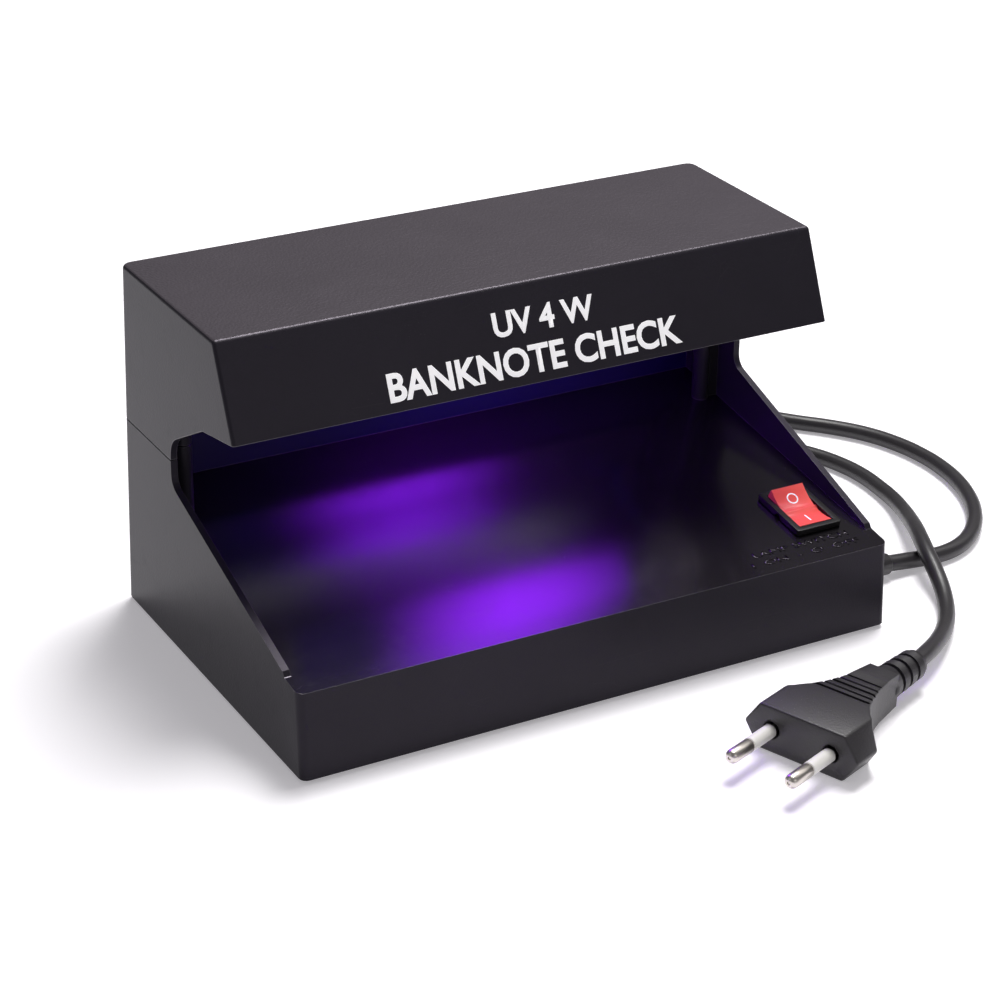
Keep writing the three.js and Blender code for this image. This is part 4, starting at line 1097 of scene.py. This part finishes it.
class ShellSlot(Enum):
    """The material slots of the two shells."""

    SIDE = 0
    # The rounded edges: partly wear, partly a painted highlight.
    EDGE = 1
    TRAY = 2
    # The flat hood top, whose lighter colour is painted light.
    TOP = 3
    # The bay's back wall, coloured with painted violet lamp light.
    INNER = 4


@dataclass(frozen=True)
class Line:
    """One line of lettering: its piece, its words, where it stands across and up, and its size."""

    name: str
    words: str
    across: float
    up: float
    height: float
    width: float


@dataclass
class Case:
    """Both shells, the base plate, feet, screws and lettering.

    The lips and the hood's top are (y, z) in millimetres, the other sizes are in metres.
    """

    tray_tilt: float = math.radians(8)
    lip: tuple = (-57.2, 26.2)
    hood_lip: tuple = (-20.8, 80.8)
    hood_top: tuple = (-9.7, 106.0)
    edge_round: float = 0.0007
    tray_margin: float = 0.001
    bay_back: float = 0.0473
    printed: tuple[Line, ...] = (Line("print_upper", "UV 4 W", 0.0026, 0.0139, 0.007, 0.0315),
                                 Line("print_lower", "BANKNOTE CHECK", -0.0016, 0.0026, 0.008, 0.091))
    print_gap: float = 0.00002
    print_depth: float = 0.00012
    raised: tuple[Line, ...] = (
        Line("legend_upper", "LAMP SWITCH", 0.0685, -0.0493, 0.0023, 0.032),
        Line("legend_lower", "I  ON  -  O  OFF", 0.0675, -0.0535, 0.0023, 0.036))
    legend_sink: float = 0.00005
    legend_depth: float = 0.00018
    foot_radius: float = 0.00596
    recess_half: float = 0.0015
    recess_slot: float = 0.0003
    recess_depth: float = 0.0009

    def tray_height(self, y: float) -> float:
        """Height of the tray's surface at a depth, in metres."""
        return self.lip[1] * MM + math.tan(self.tray_tilt) * (y - self.lip[0] * MM)

    def shells(self, bench: Bench) -> None:
        """Models both shells with lighter rounded edges (partly wear, partly a painted highlight), a hood top
        painted lighter as painted light, and a glossier note bay whose back wall is painted violet as painted
        lamp light.

        Args:
            bench: the modelling bench.
        """
        palette = bench.palette
        finishes = (palette.side, palette.edge, palette.tray, palette.hood, palette.inner)
        for node in ("upper_shell", "lower_shell"):
            # The rounding goes into the edge slot, whose lighter finish is partly wear and partly a painted
            # highlight.
            piece = bench.refined(node, f"{node}_finished", self.edge_round, 3,
                                  edge_slot=ShellSlot.EDGE.value)
            while len(piece.data.materials) < len(finishes):
                piece.data.materials.append(None)
            for polygon in piece.data.polygons:
                if polygon.material_index == ShellSlot.SIDE.value:
                    polygon.material_index = self.face_slot(polygon).value
            bench.modify(piece, "WEIGHTED_NORMAL", keep_sharp=True, weight=100)
            bench.dress(piece, *finishes)
            bench.place(piece, Body.CASE, "case_plastic", node)

    def face_slot(self, polygon: bpy.types.MeshPolygon) -> ShellSlot:
        """The finish of one face of a shell, by where it lies.

        Args:
            polygon: the face.

        Returns:
            The finish's slot.
        """
        centre, normal, margin = polygon.center, polygon.normal, self.tray_margin
        if normal.z > 0.9 and abs(centre.z - self.tray_height(centre.y)) < margin:
            return ShellSlot.TRAY
        # The flat hood top gets the lighter finish, which is painted light.
        if normal.z > 0.9 and centre.z > self.hood_top[1] * MM - margin:
            return ShellSlot.TOP
        # The bay's back wall, facing the front, gets the painted violet lamp light.
        if normal.y < -0.9 and self.bay_back - margin < centre.y < self.bay_back + margin:
            return ShellSlot.INNER
        return ShellSlot.SIDE

    def print_lines(self, bench: Bench) -> None:
        """Prints the two lines on the hood's front face.

        Args:
            bench: the modelling bench.
        """
        corner = Vector((0, *self.hood_lip)) * MM
        rise = (Vector((0, *self.hood_top)) * MM - corner).normalized()
        across = Vector((1, 0, 0))
        out = across.cross(rise)
        for line in self.printed:
            spot = corner + across * line.across + rise * line.up + out * self.print_gap
            frame = Matrix.Translation(spot) @ Matrix((across, rise, out)).transposed().to_4x4()
            piece = bench.lettering(line.name, line.words, line.height, line.width, self.print_depth, frame)
            # The print's finish glows faintly: painted brightness of the print.
            bench.dress(piece, bench.palette.print_ink_painted_glow)
            bench.place(piece, Body.CASE, "white_plastic")

    def legend(self, bench: Bench) -> None:
        """Raises a small legend in two rows out of the tray in front of the switch.

        Args:
            bench: the modelling bench.
        """
        tilt = Matrix.Rotation(self.tray_tilt, 4, "X")
        for line in self.raised:
            base = self.tray_height(line.up) - self.legend_sink
            spot = Matrix.Translation((line.across, line.up, base)) @ tilt
            piece = bench.lettering(line.name, line.words, line.height, line.width, self.legend_depth, spot,
                                    weight=0.0)
            bench.dress(piece, bench.palette.tray)
            bench.place(piece, Body.CASE, "case_plastic")

    def feet(self, bench: Bench) -> None:
        """Models the four rubber feet with a dished sole.

        Args:
            bench: the modelling bench.
        """
        for end in ("front", "rear"):
            for side in Side:
                node = f"foot_{end}_{side.word}"
                low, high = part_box(node)
                middle = (low + high) / 2
                r, tall = self.foot_radius, high.z
                foot = bench.spun(f"{node}_finished", [
                    (0, 0.0004), (r - 0.0022, 0.0004), (r - 0.0018, 0), (r - 0.0008, 0), (r - 0.0003, 0.0002),
                    (r, 0.0006), (r, tall - 0.0002), (r - 0.0002, tall), (0, tall)],
                    Matrix.Translation((middle.x, middle.y, 0)), 40)
                bench.dress(foot, bench.palette.rubber)
                bench.place(foot, Body.CASE, "foot_rubber", node)

    def screws(self, bench: Bench) -> None:
        """Cuts a cross recess into a copy of each screw's head.

        Args:
            bench: the modelling bench.
        """
        for node in sorted(n for n in bench.nodes if "screw" in n):
            low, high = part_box(node)
            middle = (low + high) / 2
            piece = bench.refined(node, f"{node}_finished", 0.0002, 2)
            down = node.startswith(("board", "clamp"))
            face = high.z if down else low.z
            centre = Vector((middle.x, middle.y, face))
            for half in ((self.recess_half, self.recess_slot), (self.recess_slot, self.recess_half)):
                reach = Vector((*half, self.recess_depth))
                bench.carve(piece, bench.block(centre - reach, centre + reach))
            bench.settle(piece, f"{node}_finished")
            bench.dress(piece, bench.palette.steel)
            bench.place(piece, Body.CASE, "screw_steel", node)

    def build(self, bench: Bench) -> None:
        """Builds the whole case.

        Args:
            bench: the modelling bench.
        """
        self.shells(bench)
        self.print_lines(bench)
        self.legend(bench)
        self.feet(bench)
        self.screws(bench)
        bench.renewed("base_plate", Body.CASE, "plate_plastic", bench.palette.plate, 0.0003)
        bench.renewed("cord_relief", Body.CASE, "foot_rubber", bench.palette.cord, 0.0003)


# ---- lamp and switch


@dataclass
class Lamp:
    """The ultraviolet tube, its holders and its reflector."""

    glass_radius: float = 0.0075
    glass_wall: float = 0.0008
    skin_gap: float = 0.00005

    def build(self, bench: Bench) -> None:
        """Models the lamp.

        Args:
            bench: the modelling bench.
        """
        low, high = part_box("uv_tube_glass")
        axis = (low + high) / 2
        lie = Matrix.Translation((0, axis.y, axis.z)) @ Matrix.Rotation(math.pi / 2, 4, "Y")
        r, end = self.glass_radius - self.skin_gap, high.x
        bore = r - self.glass_wall
        tube = bench.spun("uv_tube_glass_finished", [
            (bore, -end), (r, -end), (r, -end / 2), (r, 0), (r, end / 2), (r, end), (bore, end),
            (bore, -end)], lie, 56)
        bench.dress(tube, bench.palette.glow)
        bench.place(tube, Body.TUBE, "tube_glass", "uv_tube_glass")
        for side in Side:
            for name, slot, body, finish in (
                (f"tube_cap_{side.word}", "cap_aluminium", Body.TUBE, bench.palette.sheet),
                (f"tube_pin_{side.word}_front", "contact_brass", Body.TUBE, bench.palette.brass),
                (f"tube_pin_{side.word}_rear", "contact_brass", Body.TUBE, bench.palette.brass),
                (f"lampholder_rotor_{side.word}", "white_plastic", Body.TUBE, bench.palette.white),
                (f"lampholder_{side.word}", "white_plastic", Body.CASE, bench.palette.white),
            ):
                bench.renewed(name, body, slot, finish, 0.00025)
        bench.renewed("reflector", Body.CASE, "reflector_sheet", bench.palette.sheet, 0.00012)


@dataclass
class Switch:
    """The rocker switch in the tray.

    The off mark's ring is in metres, the other sizes are in millimetres.
    """

    tilt: float = math.radians(8)
    throw: float = math.radians(20)
    pivot: tuple = (77.2, -34.542, 29.687)
    half_length: float = 7.9
    crest: float = 3.0
    dish: float = 2.1
    mark_reach: float = 4.2
    mark_rise: float = 0.06
    bar_low: tuple = (-0.24, -1.7, -0.05)
    bar_high: tuple = (0.24, 1.7, 0.06)
    ring_low: float = -0.0001
    ring_high: float = 0.00006
    ring_inner: float = 0.00138
    ring_outer: float = 0.00178

    def rocker_frame(self) -> Matrix:
        """The rocker's own frame, with its pivot at the origin."""
        turn = Matrix.Rotation(self.tilt + self.throw / 2, 4, "X")
        return Matrix.Translation(Vector(self.pivot) * MM) @ turn

    def top(self, y: float) -> float:
        """Height of the rocker's dished top over its pivot, in millimetres."""
        return self.crest - self.dish * (1 - (y / self.half_length) ** 2)

    def mark_frame(self, end: int) -> Matrix:
        """The frame of a mark on the rocker's top.

        Args:
            end: -1 for the rocker's front, 1 for its rear.

        Returns:
            The frame, with Z out of the dished top.
        """
        slope = math.atan(2 * self.dish * self.mark_reach / self.half_length ** 2)
        lift = self.top(self.mark_reach) + self.mark_rise
        spot = Matrix.Translation(Vector((0, end * self.mark_reach, lift)) * MM)
        return self.rocker_frame() @ spot @ Matrix.Rotation(end * slope, 4, "X")

    def build(self, bench: Bench) -> None:
        """Models the switch.

        Args:
            bench: the modelling bench.
        """
        bench.renewed("switch_housing", Body.CASE, "switch_plastic", bench.palette.bezel, 0.0004, 3)
        bench.renewed("switch_rocker", Body.ROCKER, "rocker_plastic", bench.palette.red, 0.0003, 3, 35.0)
        bar = bench.block(Vector(self.bar_low) * MM, Vector(self.bar_high) * MM)
        bench.modify(bar, "BEVEL", width=0.00005, segments=2)
        bar.matrix_world = self.mark_frame(-1) @ bar.matrix_world
        bench.settle(bar, "mark_on")
        # The mark's finish glows faintly: painted brightness of the print.
        bench.dress(bar, bench.palette.print_ink_painted_glow)
        bench.place(bar, Body.ROCKER, "white_plastic")
        low, high, inner, outer = self.ring_low, self.ring_high, self.ring_inner, self.ring_outer
        ring = bench.spun("mark_off", [
            (inner, low), (outer, low), (outer, high), (inner, high), (inner, low)], self.mark_frame(1), 32)
        # The ring's finish glows faintly: painted brightness of the print.
        bench.dress(ring, bench.palette.print_ink_painted_glow)
        bench.place(ring, Body.ROCKER, "white_plastic")


class Electrics:
    """The hidden driver board and wiring, which keep their CAD shapes."""

    def build(self, bench: Bench) -> None:
        """Dresses each remaining CAD node.

        Args:
            bench: the modelling bench.
        """
        palette = bench.palette
        finishes = {
            "ballast_board": palette.board, "transformer_core": palette.ferrite,
            "transformer_coil": palette.tape, "filter_capacitor": palette.sleeve,
            "lamp_capacitor": palette.dipped,
            "transistor_left": palette.ferrite, "transistor_right": palette.ferrite, "inner_cord": palette.cord,
            "cord_clamp": palette.white, "live_lead": palette.lead_red, "switched_lead": palette.lead_red,
            "neutral_lead": palette.lead_blue, "lamp_lead_left": palette.lead_blue,
            "lamp_lead_right": palette.lead_blue, "switch_terminal_front": palette.brass,
            "switch_terminal_rear": palette.brass, "coil_tie": palette.white,
        }
        for name, finish in finishes.items():
            bench.dress(bench.nodes[name], finish)
            log.info("%s dressed", name)


def main() -> None:
    """Builds the detector round its frame, piece by piece."""
    logging.basicConfig(level=logging.INFO, format="%(name)s: %(message)s")
    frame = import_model()
    nodes = frame["nodes"]
    Bench.clear()
    studio = Studio()
    studio.camera()
    groups = EffectGroups()
    bench = Bench(groups, Palette(), nodes)
    plug_pieces = Plug().build(bench)
    FreeCord().build(bench, [*plug_pieces, nodes["coil_tie"]])
    Case().build(bench)
    Lamp().build(bench)
    Switch().build(bench)
    Electrics().build(bench)
    studio.floor(groups)
    studio.lights()


if __name__ == "__main__":
    main()
